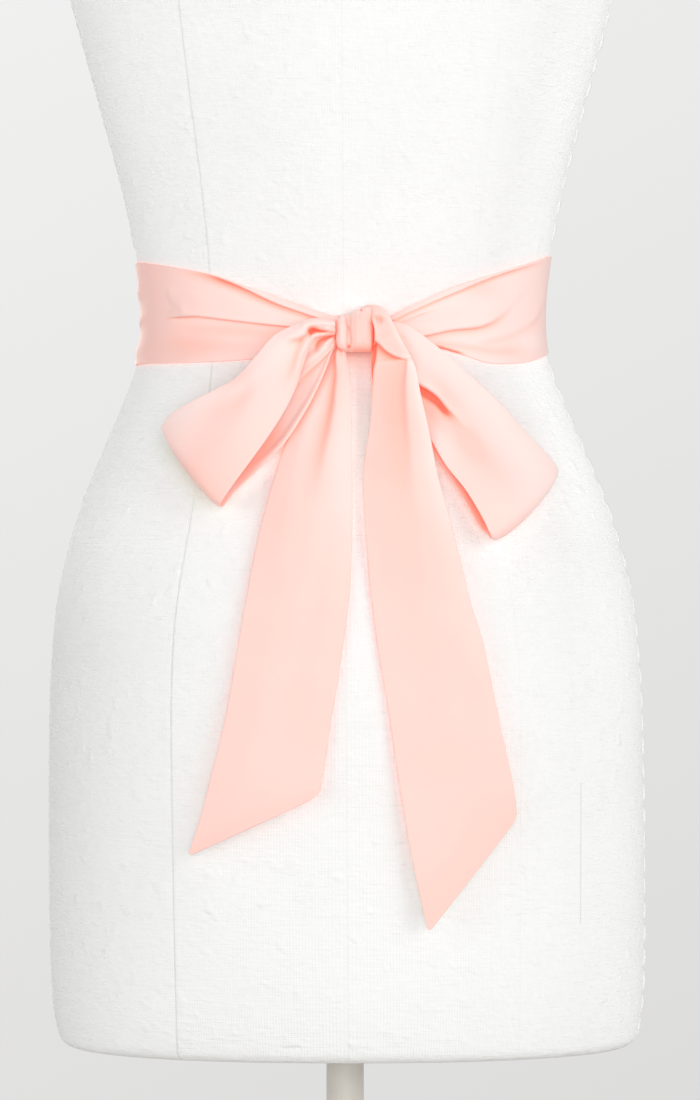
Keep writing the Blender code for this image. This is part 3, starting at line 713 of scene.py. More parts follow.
def buildForm():
    near = np.array([0, 0.0045, 0.010, 0.018, 0.035, 0.065])
    panel = np.concatenate([near, np.linspace(0.12, 0.88, 8), 1 - near[:0:-1]])
    foot, edge, wrapRadius = formShape["foot"], formShape["footEdge"], formFinish["wrapRadius"]
    low = [(foot + edge * (1 - math.cos(t)), -edge * (1 - math.sin(t))) for t in np.linspace(0, np.pi / 2, 7)]
    rises = [r for r, _ in low]
    insets = [i for _, i in low]
    body = np.arange(foot + edge + 3.0, formShape["neckTop"] - 1.0, formFinish["rowStep"])
    rises += list(body) + [formShape["neckTop"]]
    insets += [0.0] * (len(body) + 1)
    rings, marks, uvs = [], [], []
    for rise, inset in zip(rises, insets):
        seams = seamAngles(rise)
        angles, sink, mark = [], [], []
        for k in range(8):
            angles.append(seams[k] + (seams[k + 1] - seams[k]) * panel)
            wide = max((seams[k + 1] - seams[k]) * 0.0175 * formAt("halfWidth", rise) * 0.8, 20.0)
            away = np.minimum(panel, 1 - panel) * wide
            opened = np.where(panel < 0.5, formFinish["seamOpen"][k], formFinish["seamOpen"][k + 1])
            groove = -formFinish["seamDepth"] * hump(away, formFinish["seamHalfWidth"])
            groove += formFinish["seamRidge"] * hump(away - 1.7, 1.0)
            sink.append(groove * opened)
            mark.append(hump(away, 0.45) * opened)
        angles, sink, mark = np.concatenate(angles), np.concatenate(sink), np.concatenate(mark)
        rings.append(formPoint(angles, np.full_like(angles, rise), inset + sink))
        marks.append(mark)
        uvs.append(np.column_stack([np.radians(angles) * wrapRadius, np.full_like(angles, rise)]))
    seams = seamAngles(foot)
    turn = np.radians(np.concatenate([seams[k] + (seams[k + 1] - seams[k]) * panel for k in range(8)]))
    hole = formFinish["poleHole"]
    for height in (foot, foot + formFinish["socketDepth"]):
        level = np.full_like(turn, height + waistHeight)
        rings.insert(0, np.stack([hole * np.sin(turn), -hole * np.cos(turn), level], -1))
        marks.insert(0, np.zeros_like(turn))
        uvs.insert(0, np.column_stack([turn * wrapRadius, np.full_like(turn, foot)]))
    top = rings[-1]
    rings.append(top.mean(0) + (top - top.mean(0)) * [0.02, 0.02, 1.0])     # closes the neck under its cap
    marks.append(np.zeros_like(turn))
    uvs.append(uvs[-1])
    bottom = rings[0]
    rings.insert(0, bottom.mean(0) + (bottom - bottom.mean(0)) * [0.05, 0.05, 1.0])
    marks.insert(0, np.zeros_like(turn))
    uvs.insert(0, uvs[0])
    count, columns = len(rings), len(turn)
    index = np.arange(count * columns).reshape(count, columns)
    faces = gridQuads(np.concatenate([index, index[:, :1]], 1))
    return addPiece("formCover", np.concatenate(rings), faces, linen, np.concatenate(uvs),
                    {"seam": np.concatenate(marks)}, wrap=2 * np.pi * wrapRadius)


formCover = buildForm()
print("form covered")

sideStitch = {
    "right": (14.4, 12.6, 1.7),        # pitch, length and height, the long loose loops on the right
    "left": (5.6, 6.4, 1.0),
    "halfWidth": 2.0,
    "slant": 1.0,
    "bottom": -438.0,
    "top": 372.0,
    "bandBottom": -31.0,        # no stitch stands proud where the band presses on them
    "bandTop": 39.0,
}


def buildSideStitches(name, angle, side):
    # overcast stitches that close the cover down one side, as a row of small raised turns of thread
    s = sideStitch
    pitch, length, height = s[side]
    starts = np.arange(s["bottom"], s["top"], pitch)
    starts = starts[(starts < s["bandBottom"]) | (starts > s["bandTop"])]
    alongs, arounds = np.linspace(-1, 1, 11), np.radians(np.linspace(0, 360, 8, endpoint=False))
    jitter = 0.12 * np.sin(starts * 1.7) + 0.08 * np.sin(starts * 0.61)
    points, faces = [], []
    taper = np.sqrt(np.maximum(1 - alongs**2, 0.02))
    for n, start in enumerate(starts):
        size = 1.0 + jitter[n]
        rise = start + alongs * length / 2
        sway = s["slant"] * alongs * size
        across = sway[:, None] + taper[:, None] * s["halfWidth"] * np.cos(arounds) * size
        out = 0.1 + taper[:, None] * height * np.sin(arounds) * size
        rises = np.repeat(rise[:, None], len(arounds), 1)
        reach = formAt("back", rises)
        turned = angle + np.degrees(across / reach) * 0.8
        points.append(formPoint(turned, rises, out).reshape(-1, 3))
        index = n * rises.size + np.arange(rises.size).reshape(rises.shape)
        index = np.concatenate([index, index[:, :1]], 1)
        faces.append(gridQuads(index))
    return addPiece(name, np.concatenate(points), np.concatenate(faces), thread)


rightStitches = buildSideStitches("rightSideStitches", 90.0, "right")
leftStitches = buildSideStitches("leftSideStitches", 270.0, "left")
print("side seams stitched")

# Stand and cap.
standSizes = {
    "baseRadius": 190.0,
    "baseThickness": 6.0,
    "collarRadius": 24.0,
    "collarHeight": 34.0,
    "poleRadius": 11.5,
    "gap": 0.3,
    "capThickness": 9.0,
    "capOverhang": 3.0,
}


def buildStand():
    s = standSizes
    thick, radius = s["baseThickness"], s["baseRadius"]
    base = [(0.5, 0.0), (radius - 1.0, 0.0)] + arc((radius - 1.0, 1.0), 1.0, -90, 0)
    base += arc((radius - 2.5, thick - 2.5), 2.5, 0, 90, 7) + [(radius - 8, thick), (60, thick), (0.5, thick)]
    baseDisc = lathe("baseDisc", base, paint, 192)

    foot, bore = thick + s["gap"], s["poleRadius"] + s["gap"]
    wide, top = s["collarRadius"], thick + s["gap"] + s["collarHeight"]
    collar = [(bore, foot), (wide - 0.6, foot)] + arc((wide - 0.8, foot + 0.8), 0.8, -90, 0, 4)
    collar += arc((wide - 1.6, foot + 4.6), 1.6, 0, 80, 5)
    collar += [(wide - 4.2, foot + 7.2), (wide - 5.8, foot + 10.0), (wide - 6.6, foot + 14.0)]
    collar += [(wide - 7.0, top - 5.0), (wide - 6.2, top - 4.2)]
    collar += arc((wide - 7.4, top - 1.6), 1.6, 20, 90, 4)
    collar += [(bore + 0.6, top), (bore, top - 0.5)]
    poleCollar = lathe("poleCollar", collar, paint, 96, closed=True)

    high = waistHeight + formShape["foot"] + formFinish["socketDepth"] - s["gap"]
    r = s["poleRadius"]
    heights = np.linspace(foot + 1, high - 1, 12)
    rod = [(0.3, foot), (r - 0.8, foot), (r, foot + 0.8)] + [(r, h) for h in heights]
    rod += [(r - 0.8, high), (0.3, high)]
    return baseDisc, poleCollar, lathe("standPole", rod, paint, 64)


def buildCap():
    s = standSizes
    neckTop = formShape["neckTop"]
    outer = float(formAt("halfWidth", neckTop)) + s["capOverhang"]
    base = neckTop + waistHeight + s["gap"]
    thick = s["capThickness"]
    profile = [(0.5, base), (outer - 1.8, base)] + arc((outer - 1.5, base + 1.5), 1.5, -90, 0)
    profile += arc((outer - 2.5, base + thick - 2.5), 2.5, 0, 90, 7)
    profile += [(outer - 5.0, base + thick + 0.1), (outer - 5.6, base + thick - 0.5)]      # turned bead line
    profile += [(outer - 6.4, base + thick - 0.4), (outer - 7.2, base + thick + 0.6)]
    dome = np.linspace(outer - 8.5, 0.5, 9)
    profile += [(r, base + thick + 5.0 - 4.2 * (r / (outer - 8.5)) ** 2) for r in dome]
    centre = (leanAt(neckTop), float(formAt("forward", neckTop)))
    return lathe("neckCap", profile, wood, 128, centre)


baseDisc, poleCollar, standPole = buildStand()
neckCap = buildCap()
print("stand and cap turned")

# Waist band.
bandLook = {
    "wall": 1.0,
    "gap": 0.5,
    "gather": 0.8,          # height of the pleats at the knot
    "gatherFade": 9.0,      # degrees
    "mmPerDegree": 2.1,
    "tuckedIn": 1.6,        # degrees that each end runs on under the knot
    "columns": 84,
    "meanWidth": 55.0,
    "wrapRadius": 112.0,
    "widthOfCloth": 63.5,
    "paintedLight": 0.75,
}

bandRows = table(
    "angle top bottom",
    (6.6, 7.2, -8.6),
    (11, 8.8, -7.0),
    (17, 15.0, -7.6),
    (24, 22.0, -9.9),
    (32, 28.4, -13.9),
    (41, 33.8, -18.3),
    (56, 41.1, -17.5),
    (75, 47.6, -12.2),
    (90, 50.2, -9.0),
    (135, 50.0, -11.0),
    (180, 49.0, -13.5),
    (225, 47.5, -15.5),
    (270, 46.6, -16.5),
    (298, 42.3, -17.6),
    (321, 35.2, -18.1),
    (336, 26.1, -17.0),
    (348, 16.9, -13.5),
    (355, 10.8, -10.5),
    (357.9, 8.8, -8.5),
)

# paths in degrees round the form and mm of rise
bandFolds = [
    # right of the knot
    lap([(7, 3.2), (11.3, 6.1), (16.6, 11.7), (28.3, 22.2), (44.3, 34.0), (60, 41.6), (78, 46.6)],
        1.6, (3, 6), 0.6, 0.6, (2, 34), 1.0, (1.5, 2.6)),
    lap([(9, 1.6), (12, 3.8), (18, 8.8), (26, 14.5)], 0.7, (3, 4), 0.6, 0.3, (2, 9), 0.6, 1.2),
    lap([(9, -5.0), (20.4, -2.6), (28.3, 0.7), (38.8, 3.6), (48.1, 11.1), (54, 18.0)],
        3.0, (13, 12), (0.6, 3.6), 0.9, (3, 17), 1.0, (1.4, 4.5)),
    lap([(36, 2.0), (42, 6.0), (48.1, 11.1), (57.7, 22.8), (64, 31.0)], 1.3, (9, 9), 4.0, 0.0, (8, 12), 0.0),
    lap([(34, -6.2), (44.2, -4.0), (50.8, -1.2), (58, 3.2), (67.6, 9.5), (79.6, 22.4), (85, 28)],
        1.9, (11, 10), 3.2, 0.0, (9, 20), 0.2, 5.0),
    soft([(14, -6.5), (30, -8.5), (44, -11.5), (62, -9)], -0.9, (2, 4), (5, 14), 0.3),
    soft([(21, -8.4), (25, -9.8), (29, -11.8), (34, -14.2)], -0.3, (1.2, 1.2), (3, 4), 1.0),
    # left of the knot
    lap([(308, 39.6), (323.2, 34.2), (332.4, 27.6), (344.3, 16.2), (349.8, 11.7), (358, 5.0)],
        1.8, (5, 3), 0.7, 0.7, (20, 2), 1.0, (4.2, 1.4)),
    soft([(318, 33.5), (327, 28.6), (338, 19.0), (347, 11.2), (356, 4.6)], -0.7, (3.5, 1.6), (10, 3), 0.3),
    lap([(300, 9.2), (304.3, 9.6), (311.4, 10.0), (318.2, 10.0), (327.5, 7.8), (336.3, 5.5), (346.9, 2.9),
         (357, 0.6)], 3.0, (10, 12), 0.7, 0.9, (14, 3), 1.0, 1.3),
    soft([(296, 1.5), (312, 2.0), (330, 0.5), (345, -2.5), (354, -4.0)], -0.3, (4, 5), (34, 4), 0.30),
    soft([(298, -2.0), (305, -3.6), (322.3, -7.5), (334.6, -9.2), (350, -6.5)], -1.6, (5, 4), (12, 6), 0.12),
    soft([(302, 24.5), (304.8, 23.6), (311.4, 17.0), (316, 13.0)], 0.8, (4, 3), (4, 5), 0.0),
    soft([(300, 19.5), (308, 14.0), (314, 11.6)], -0.6, (3, 3), (4, 5), 0.0),
    soft([(310, 32.5), (316.8, 28.6), (327.6, 18.7), (333, 13.5)], -0.6, (5, 4), (6, 8), 0.0),
    # round the sides and the far side
    soft([(248, 29.0), (268, 27.0), (288, 29.5)], 1.0, (5, 5), (12, 12), 0.0),
    soft([(248, 10.5), (270, 9.4), (292, 13.5)], 1.0, (3.6, 3.6), (14, 16), 0.0),
    soft([(246, -9.0), (270, -8.5), (300, -6.0)], 1.3, (5.5, 6), (12, 22), 0.0),
    lap([(92, 21.0), (110, 25.0), (136, 19.0), (172, 20.5), (214, 27.0)],
        2.2, (11, 9), 1.2, 0.5, (16, 22), 0.6, 2.4),
    lap([(148, 3.0), (176, 1.5), (206, 6.0), (236, 10.5), (262, 9.5)],
        2.0, (9, 10), 1.4, 0.5, (20, 14), 0.5, 2.6),
    soft([(88, 6.0), (110, 2.0), (138, 7.0), (160, 12.0)], 1.5, (6, 5), (14, 14), 0.0),
    soft([(104, 38.0), (140, 35.0), (182, 39.0), (214, 35.0)], 1.3, (5, 5), (14, 16), 0.0),
    soft([(196, 19.0), (222, 21.0), (248, 24.0)], 1.2, (4, 5), (14, 12), 0.0),
    soft([(205, 43.0), (238, 37.0), (264, 40.0)], 1.2, (4, 4), (14, 14), 0.0),
    soft([(120, -6.0), (150, -4.0), (190, -8.0)], 1.1, (4, 4), (14, 16), 0.0),
]

# painted light and shade on the band, paler or deeper: angle, rise, reach round, reach up, how much
bandLightPatches = [(318, -9, 13, 7, -0.5), (63, -3, 10, 7, 0.3), (39, 26, 8, 6, -0.4)]


def buildBand():
    b = bandLook
    first, last = bandRows["angle"][0], bandRows["angle"][-1]
    angles = np.concatenate([
        np.linspace(first - b["tuckedIn"], 88, 176, endpoint=False),
        np.linspace(88, 268, 100, endpoint=False),
        np.linspace(268, last + b["tuckedIn"], 186),
    ])
    angle, part = np.meshgrid(angles, acrossPlaces(b["columns"], b["meanWidth"]), indexing="ij")
    top, bottom = (curve(bandRows["angle"], bandRows[name], angle) for name in ("top", "bottom"))
    rise = top + (bottom - top) * part
    lift, shift, creaseShade = foldEffects(bandFolds, angle, lambda way: rise - way, 1 / b["mmPerDegree"])
    rise = rise + shift * ease((top - rise) / 2.5) * ease((rise - bottom) / 2.5)
    gather = np.exp(-np.maximum(np.minimum(angle - first, last - angle), 0) / b["gatherFade"])
    lift = np.maximum(lift + b["gather"] * gather * (1 - np.cos(6 * np.pi * part)), 0.0)
    grid = formPoint(angle, rise + knotHeight - waistHeight, lift + b["gap"] + b["wall"] / 2)
    edge = np.minimum(part, 1 - part) * (top - bottom)
    uv = np.stack([np.radians(angle) * b["wrapRadius"], part * b["widthOfCloth"]], -1)
    # the far side and the left end are turned away from the light
    paintedLight = b["paintedLight"] * (ease((150 - angle) / 75) + ease((angle - 282) / 60))
    paintedLight = withLightPatches(paintedLight, bandLightPatches, angle, rise)
    return clothShell("bandCloth", grid, b["wall"], edge, satin, uv, {"creaseShade": creaseShade, "paintedLight": paintedLight})


bandCloth = buildBand()
print("waist band laid")

# Bow and tails.
# Each strip goes from the knot outwards, across its two edges a and b. x is to the right of the
# middle, rise is from the knot, lift is how far the cloth stands off the form.
leftTailRows = table(
    "row ax arise alift bx brise blift",
    (0, 0.4, -12.5, 9.0, -4.2, -10.6, 8.0),
    (1, 2.6, -25.5, 8.0, -9.6, -22.0, 6.0),
    (2, 3.6, -41.7, 7.0, -19.0, -38.0, 5.0),
    (3, 4.2, -71.3, 6.0, -34.5, -67.0, 4.6),
    (4, 4.4, -98.0, 4.6, -43.5, -95.0, 4.4),
    (5, 4.2, -124.2, 3.4, -51.0, -124.2, 4.6),
    (6, 2.7, -155.6, 2.6, -57.8, -160.0, 5.0),
    (7, -1.9, -192.7, 2.4, -64.0, -196.0, 5.4),
    (8, -7.5, -227.0, 3.0, -70.5, -232.0, 6.4),
    (9, -11.0, -250.0, 4.2, -78.0, -262.0, 7.6),
    (10, -13.0, -263.0, 5.2, -85.0, -288.0, 8.6),
    (11, -14.8, -273.0, 5.8, -92.0, -309.5, 9.6),
)

rightTailRows = table(
    "row ax arise alift bx brise blift",
    (-1, 9.6, 13.4, 10.0, 14.0, 6.4, 13.5),
    (0, 15.6, 14.4, 15.6, 16.2, 4.6, 17.6),
    (1, 23.0, 12.1, 18.6, 17.2, 0.2, 18.6),
    (2, 27.7, 4.8, 20.5, 17.6, -5.2, 18.0),
    (3, 32.1, -4.3, 21.0, 16.4, -10.6, 17.0),
    (4, 37.4, -13.7, 20.5, 15.4, -18.8, 16.0),
    (5, 41.5, -23.1, 20.0, 15.8, -27.4, 14.6),
    (6, 44.5, -38.7, 19.0, 15.9, -38.5, 13.2),
    (7, 49.1, -58.4, 17.0, 14.6, -57.0, 11.6),
    (8, 54.6, -87.2, 12.5, 10.6, -84.0, 8.8),
    (9, 62.6, -116.0, 8.0, 11.6, -112.0, 5.4),
    (10, 73.0, -159.2, 6.4, 15.2, -155.6, 2.8),
    (11, 80.5, -184.0, 6.2, 19.6, -190.0, 2.4),
    (12, 88.9, -224.0, 6.8, 26.0, -228.0, 3.2),
    (13, 94.0, -247.0, 7.6, 32.0, -268.0, 5.0),
    (14, 98.6, -268.0, 8.4, 39.6, -312.0, 8.0),
    (15, 101.0, -287.0, 9.2, 48.6, -353.5, 11.0),
)

# a loop's rows up to 9 are its front layer, then its bend, then its back layer
leftLoopRows = table(
    "row ax arise alift bx brise blift",
    (0, -5.5, 5.0, 14.0, -5.5, -3.2, 12.6),
    (1, -18.4, 6.2, 16.5, -17.2, -5.0, 14.0),
    (2, -31.0, 1.8, 19.0, -21.4, -12.5, 15.4),
    (3, -42.0, -4.2, 20.5, -25.0, -23.0, 16.8),
    (4, -52.0, -15.5, 21.5, -28.6, -34.5, 17.8),
    (5, -64.0, -28.6, 22.5, -34.2, -46.5, 18.8),
    (6, -77.0, -35.8, 23.0, -43.0, -61.0, 19.8),
    (7, -91.3, -42.7, 23.5, -55.0, -78.0, 20.8),
    (8, -102.0, -49.0, 23.0, -64.8, -91.4, 21.0),
    (9, -107.0, -54.6, 20.5, -71.6, -101.4, 19.0),
    (10, -108.2, -57.0, 16.0, -72.4, -104.0, 14.6),
    (11, -106.4, -55.6, 11.0, -70.2, -103.4, 10.6),
    (12, -99.0, -52.0, 8.6, -63.8, -95.4, 9.6),
    (13, -84.0, -44.0, 7.6, -51.5, -83.7, 9.4),
    (14, -66.0, -35.0, 8.0, -35.7, -67.8, 9.3),
    (15, -47.0, -22.0, 8.8, -22.0, -46.5, 9.3),
    (16, -29.0, -9.0, 9.2, -13.0, -28.0, 9.4),
    (17, -16.0, -1.0, 9.4, -8.4, -15.5, 9.4),
    (18, -5.5, 1.6, 9.4, -5.5, -8.6, 9.4),
)

rightLoopRows = table(
    "row ax arise alift bx brise blift",
    (0, 16.6, 5.6, 13.2, 16.6, -5.0, 12.4),
    (1, 27.8, 5.0, 13.4, 23.6, -11.0, 12.2),
    (2, 39.0, 1.5, 13.8, 30.5, -26.0, 12.0),
    (3, 50.0, -6.3, 14.4, 38.0, -41.5, 11.8),
    (4, 62.0, -16.0, 15.6, 44.8, -54.5, 11.6),
    (5, 74.3, -27.2, 16.8, 51.6, -67.4, 13.4),
    (6, 90.0, -41.3, 17.8, 59.6, -81.0, 15.2),
    (7, 103.6, -56.3, 18.4, 70.4, -94.6, 16.6),
    (8, 115.2, -68.7, 18.8, 79.2, -109.0, 17.2),
    (9, 123.6, -77.4, 17.6, 84.4, -119.6, 16.2),
    (10, 126.0, -81.4, 13.4, 85.8, -123.0, 12.4),
    (11, 123.8, -79.6, 9.0, 84.2, -121.6, 9.0),
    (12, 115.0, -71.0, 7.0, 78.6, -116.6, 8.6),
    (13, 99.0, -55.0, 6.6, 68.1, -98.1, 8.5),
    (14, 82.0, -40.0, 6.8, 56.6, -80.6, 8.4),
    (15, 64.0, -24.0, 8.4, 46.0, -62.5, 8.5),
    (16, 46.0, -10.0, 9.0, 35.4, -41.7, 8.6),
    (17, 30.0, -1.0, 9.2, 26.0, -21.0, 8.8),
    (18, 16.6, 3.6, 9.2, 16.6, -9.0, 8.8),
)

# fold paths are in rows along the strip and shares of its width from edge a
leftTailFolds = [
    lap([(0.0, 0.96), (0.25, 0.91), (0.58, 0.79), (1.02, 0.62), (1.38, 0.53), (1.86, 0.46), (2.3, 0.41),
         (3.2, 0.42), (4.4, 0.47)], 3.0, (3.5, 11), (0.5, 4.5), 0.3, (0.3, 2.4), 0.85, (1.4, 6)),
    soft([(1.5, 0.86), (2.6, 0.8), (4.0, 0.74), (6.5, 0.7)], 0.7, (3, 7), (1.2, 2.0), 0.0),
    soft([(3.4, 0.30), (5.0, 0.30), (7.4, 0.42), (9.5, 0.5)], -0.9, (7, 9), (1.4, 2.0), 0.0),
    soft([(6.0, 0.75), (8.0, 0.68), (10.2, 0.74)], 0.7, (9, 9), (1.5, 1.5), 0.0),
]
rightTailFolds = [
    # the edge of the turn that comes over the knot, down to where it meets the long fold
    lap([(-0.2, 1.05), (1.24, 1.08), (2.28, 0.97), (2.96, 0.75), (3.56, 0.57), (4.02, 0.38), (4.28, 0.23),
         (4.5, 0.14)], 3.6, (7, 8), 0.6, 0.6, (0.5, 0.22), 1.0, (2.0, 4.6)),
    lap([(4.3, 0.10), (4.54, 0.14), (4.84, 0.19), (5.4, 0.27), (6.08, 0.33), (6.78, 0.37), (7.94, 0.37),
         (10.0, 0.39)], 3.0, (9, 16), (0.7, 6.0), 0.3, (0.3, 3.6), 0.36, (12, 15)),
    # what shows of the layer beneath, at its left
    lap([(2.7, 0.84), (3.14, 0.83), (3.52, 0.82), (4.1, 0.86), (4.68, 0.93), (5.22, 0.96), (5.7, 0.99),
         (6.4, 1.0)], 4.0, (9, 9), 0.5, 0.5, (0.3, 0.8), 1.0, 8.0, drop=True),
    soft([(0.3, 0.62), (0.86, 0.55), (1.3, 0.45), (1.7, 0.40)], -1.5, (1.6, 2.2), (0.35, 0.5), 0.6),
    soft([(8.0, 0.72), (10.0, 0.66), (12.5, 0.62), (14.5, 0.66)], -0.8, (8, 10), (1.6, 1.6), 0.0),
    soft([(10.0, 0.3), (12.0, 0.26), (14.0, 0.3)], 0.7, (9, 9), (1.5, 1.5), 0.0),
]
leftLoopFolds = [
    # front layer: the upper turn hangs over a pocket, and a narrow turn runs below it
    lap([(-0.3, 0.76), (0.3, 0.72), (0.72, 0.64), (0.96, 0.49), (1.18, 0.38), (1.4, 0.42), (1.62, 0.52),
         (2.1, 0.47), (2.52, 0.34), (3.2, 0.26)], 2.6, (3, 7), (0.4, 2.6), 0.2, (0.3, 1.4), 0.9, (1.0, 3.6)),
    soft([(0.1, 0.75), (0.72, 0.71), (0.96, 0.63), (1.24, 0.58), (1.55, 0.56)],
         -5.0, (0.6, 3.0), (0.5, 0.22), 1.0),
    soft([(-0.2, 0.88), (1.0, 0.86), (2.2, 0.84), (3.4, 0.88), (5.0, 0.92)],
         1.8, (1.0, 3.6), (0.3, 2.0), 0.0),
    soft([(1.7, 0.55), (2.36, 0.64), (2.9, 0.71), (3.42, 0.75), (4.4, 0.76)], -1.0, (2, 4), (0.5, 1.4), 0.34),
    soft([(0.2, 0.3), (1.2, 0.2), (2.2, 0.2)], 0.9, (2.5, 4.0), (0.3, 1.0), 0.0),
    soft([(4.5, 0.08), (5.2, 0.24), (6.0, 0.38), (7.2, 0.55)], -1.1, (4, 5), (0.7, 1.4), 0.0),
    soft([(6.5, 0.7), (8.0, 0.62), (9.2, 0.6)], 0.6, (8, 8), (1.0, 1.0), 0.0),
    # back layer
    soft([(11.8, 0.92), (13.2, 0.88), (14.6, 0.80)], -0.2, (5, 6), (0.8, 0.8), 0.5),
    soft([(16.2, 0.38), (16.4, 0.41), (16.62, 0.36), (16.9, 0.31), (17.34, 0.38), (18, 0.42)],
         -2.6, (2.6, 0.8), (0.5, 0.3), 1.0),
    soft([(15.0, 0.40), (16.04, 0.48), (16.42, 0.52), (16.88, 0.57), (17.4, 0.52), (18, 0.55)],
         2.6, (4.0, 1.0), (1.2, 0.3), 0.0),
    lap([(14.6, 0.50), (15.62, 0.61), (15.92, 0.66), (16.38, 0.74), (17.1, 0.86), (17.4, 0.87), (18, 0.92)],
        2.4, (4, 1.2), (2.0, 0.4), 0.2, (1.2, 0.3), 0.9, (3.4, 0.8)),
    soft([(12.6, 0.96), (14.5, 0.96), (16.6, 0.96), (18, 0.95)], 1.2, (2.2, 1.0), (1.0, 0.4), 0.0),
]
rightLoopFolds = [
    lap([(2.2, 0.74), (3.22, 0.67), (3.7, 0.60), (4.2, 0.55), (4.75, 0.54), (5.3, 0.53), (6.0, 0.50)],
        3.8, (9, 12), (0.6, 2.6), 0.9, (0.8, 1.4), 1.0, (5.0, 3.2)),
    soft([(2.8, 0.75), (3.4, 0.71), (3.8, 0.67), (4.3, 0.62), (4.9, 0.61), (5.4, 0.60)],
         -2.2, (3.4, 2.2), (0.6, 0.8), 0.8),
    soft([(3.2, 0.82), (3.8, 0.80), (4.6, 0.74), (5.6, 0.68)], -0.8, (6, 9), (0.5, 1.4), 0.4),
    lap([(0.5, -0.1), (0.96, -0.02), (1.36, 0.18), (1.8, 0.30), (2.6, 0.34)],
        -1.2, (2, 3), 0.6, 0.2, (0.3, 0.9), 0.3, 1.0),
    soft([(5.0, 0.2), (7.0, 0.26), (8.8, 0.3)], -0.7, (7, 8), (1.0, 1.0), 0.0),
    soft([(5.6, 0.86), (7.0, 0.82), (8.6, 0.84)], 0.5, (5, 6), (0.9, 0.9), 0.0),
    soft([(14.0, 0.4), (16.0, 0.45), (18.0, 0.5)], 1.0, (6, 4), (1.0, 0.5), 0.0),
    soft([(11.4, 0.95), (12.6, 0.93), (14.0, 0.90)], -0.2, (4, 4), (0.6, 0.8), 0.7),
]

# painted light and shade on the cloth, paler or deeper: row, share across, reach along, reach across, how
# much
leftTailLightPatches = [(3.0, 0.08, 2.2, 0.3, 0.6), (2.3, 0.88, 1.1, 0.25, 0.6), (11.2, 0.5, 0.6, 0.9, -0.3)]
rightTailLightPatches = [(4.6, 0.0, 4.6, 0.18, 0.8), (8.0, 0.62, 3.6, 0.26, -0.2), (15.2, 0.5, 0.7, 0.9, -0.4)]
leftLoopLightPatches = [(9.8, 0.6, 1.6, 0.6, -0.8), (6.0, 0.34, 1.0, 0.16, -0.6), (7.4, 0.5, 1.0, 0.25, -0.3),
                 (5.0, 0.06, 0.7, 0.12, -0.6), (1.4, 0.9, 1.4, 0.14, 0.4)]
rightLoopLightPatches = [(6.0, 0.60, 0.8, 0.14, -0.8), (7.2, 0.56, 1.2, 0.16, -0.3), (3.6, 0.95, 2.0, 0.14, 0.6),
                  (4.6, 0.42, 1.0, 0.10, -0.4)]

tailLook = {
    "wall": 1.0,
    "crown": 0.8,
    "pleat": 0.3,
    "pleatFade": 40.0,
    "rowStep": 1.5,
    "fineStep": 0.5,            # near the knot, as far as the fine folds reach
    "fineReach": 62.0,
    "columns": 78,
    "meanWidth": 60.0,
    "widthOfCloth": 63.5,
    "paintedLight": (0.14, 0.14),     # along edge a and along edge b
}
loopLook = {
    "wall": 1.0,
    "crown": 3.0,
    "backCrown": -0.75,
    "pleat": 1.2,
    "backPleat": 0.48,
    "pleatFade": 22.0,
    "rowStep": 1.4,
    "fineStep": 0.6,
    "fineReach": 45.0,
    "columns": 78,
    "meanWidth": 60.0,
    "widthOfCloth": 63.5,
    "paintedLight": (1.0, 0.36),
}


def roundCorner(fromSide, fromEnd, radius):
    # pulls the square corner of a sheet in to a rounded one; returns both moves
    a, b = np.clip(radius - fromSide, 0, None) / radius, np.clip(radius - fromEnd, 0, None) / radius
    return radius * a * (1 - np.sqrt(1 - b**2 / 2)), radius * b * (1 - np.sqrt(1 - a**2 / 2))


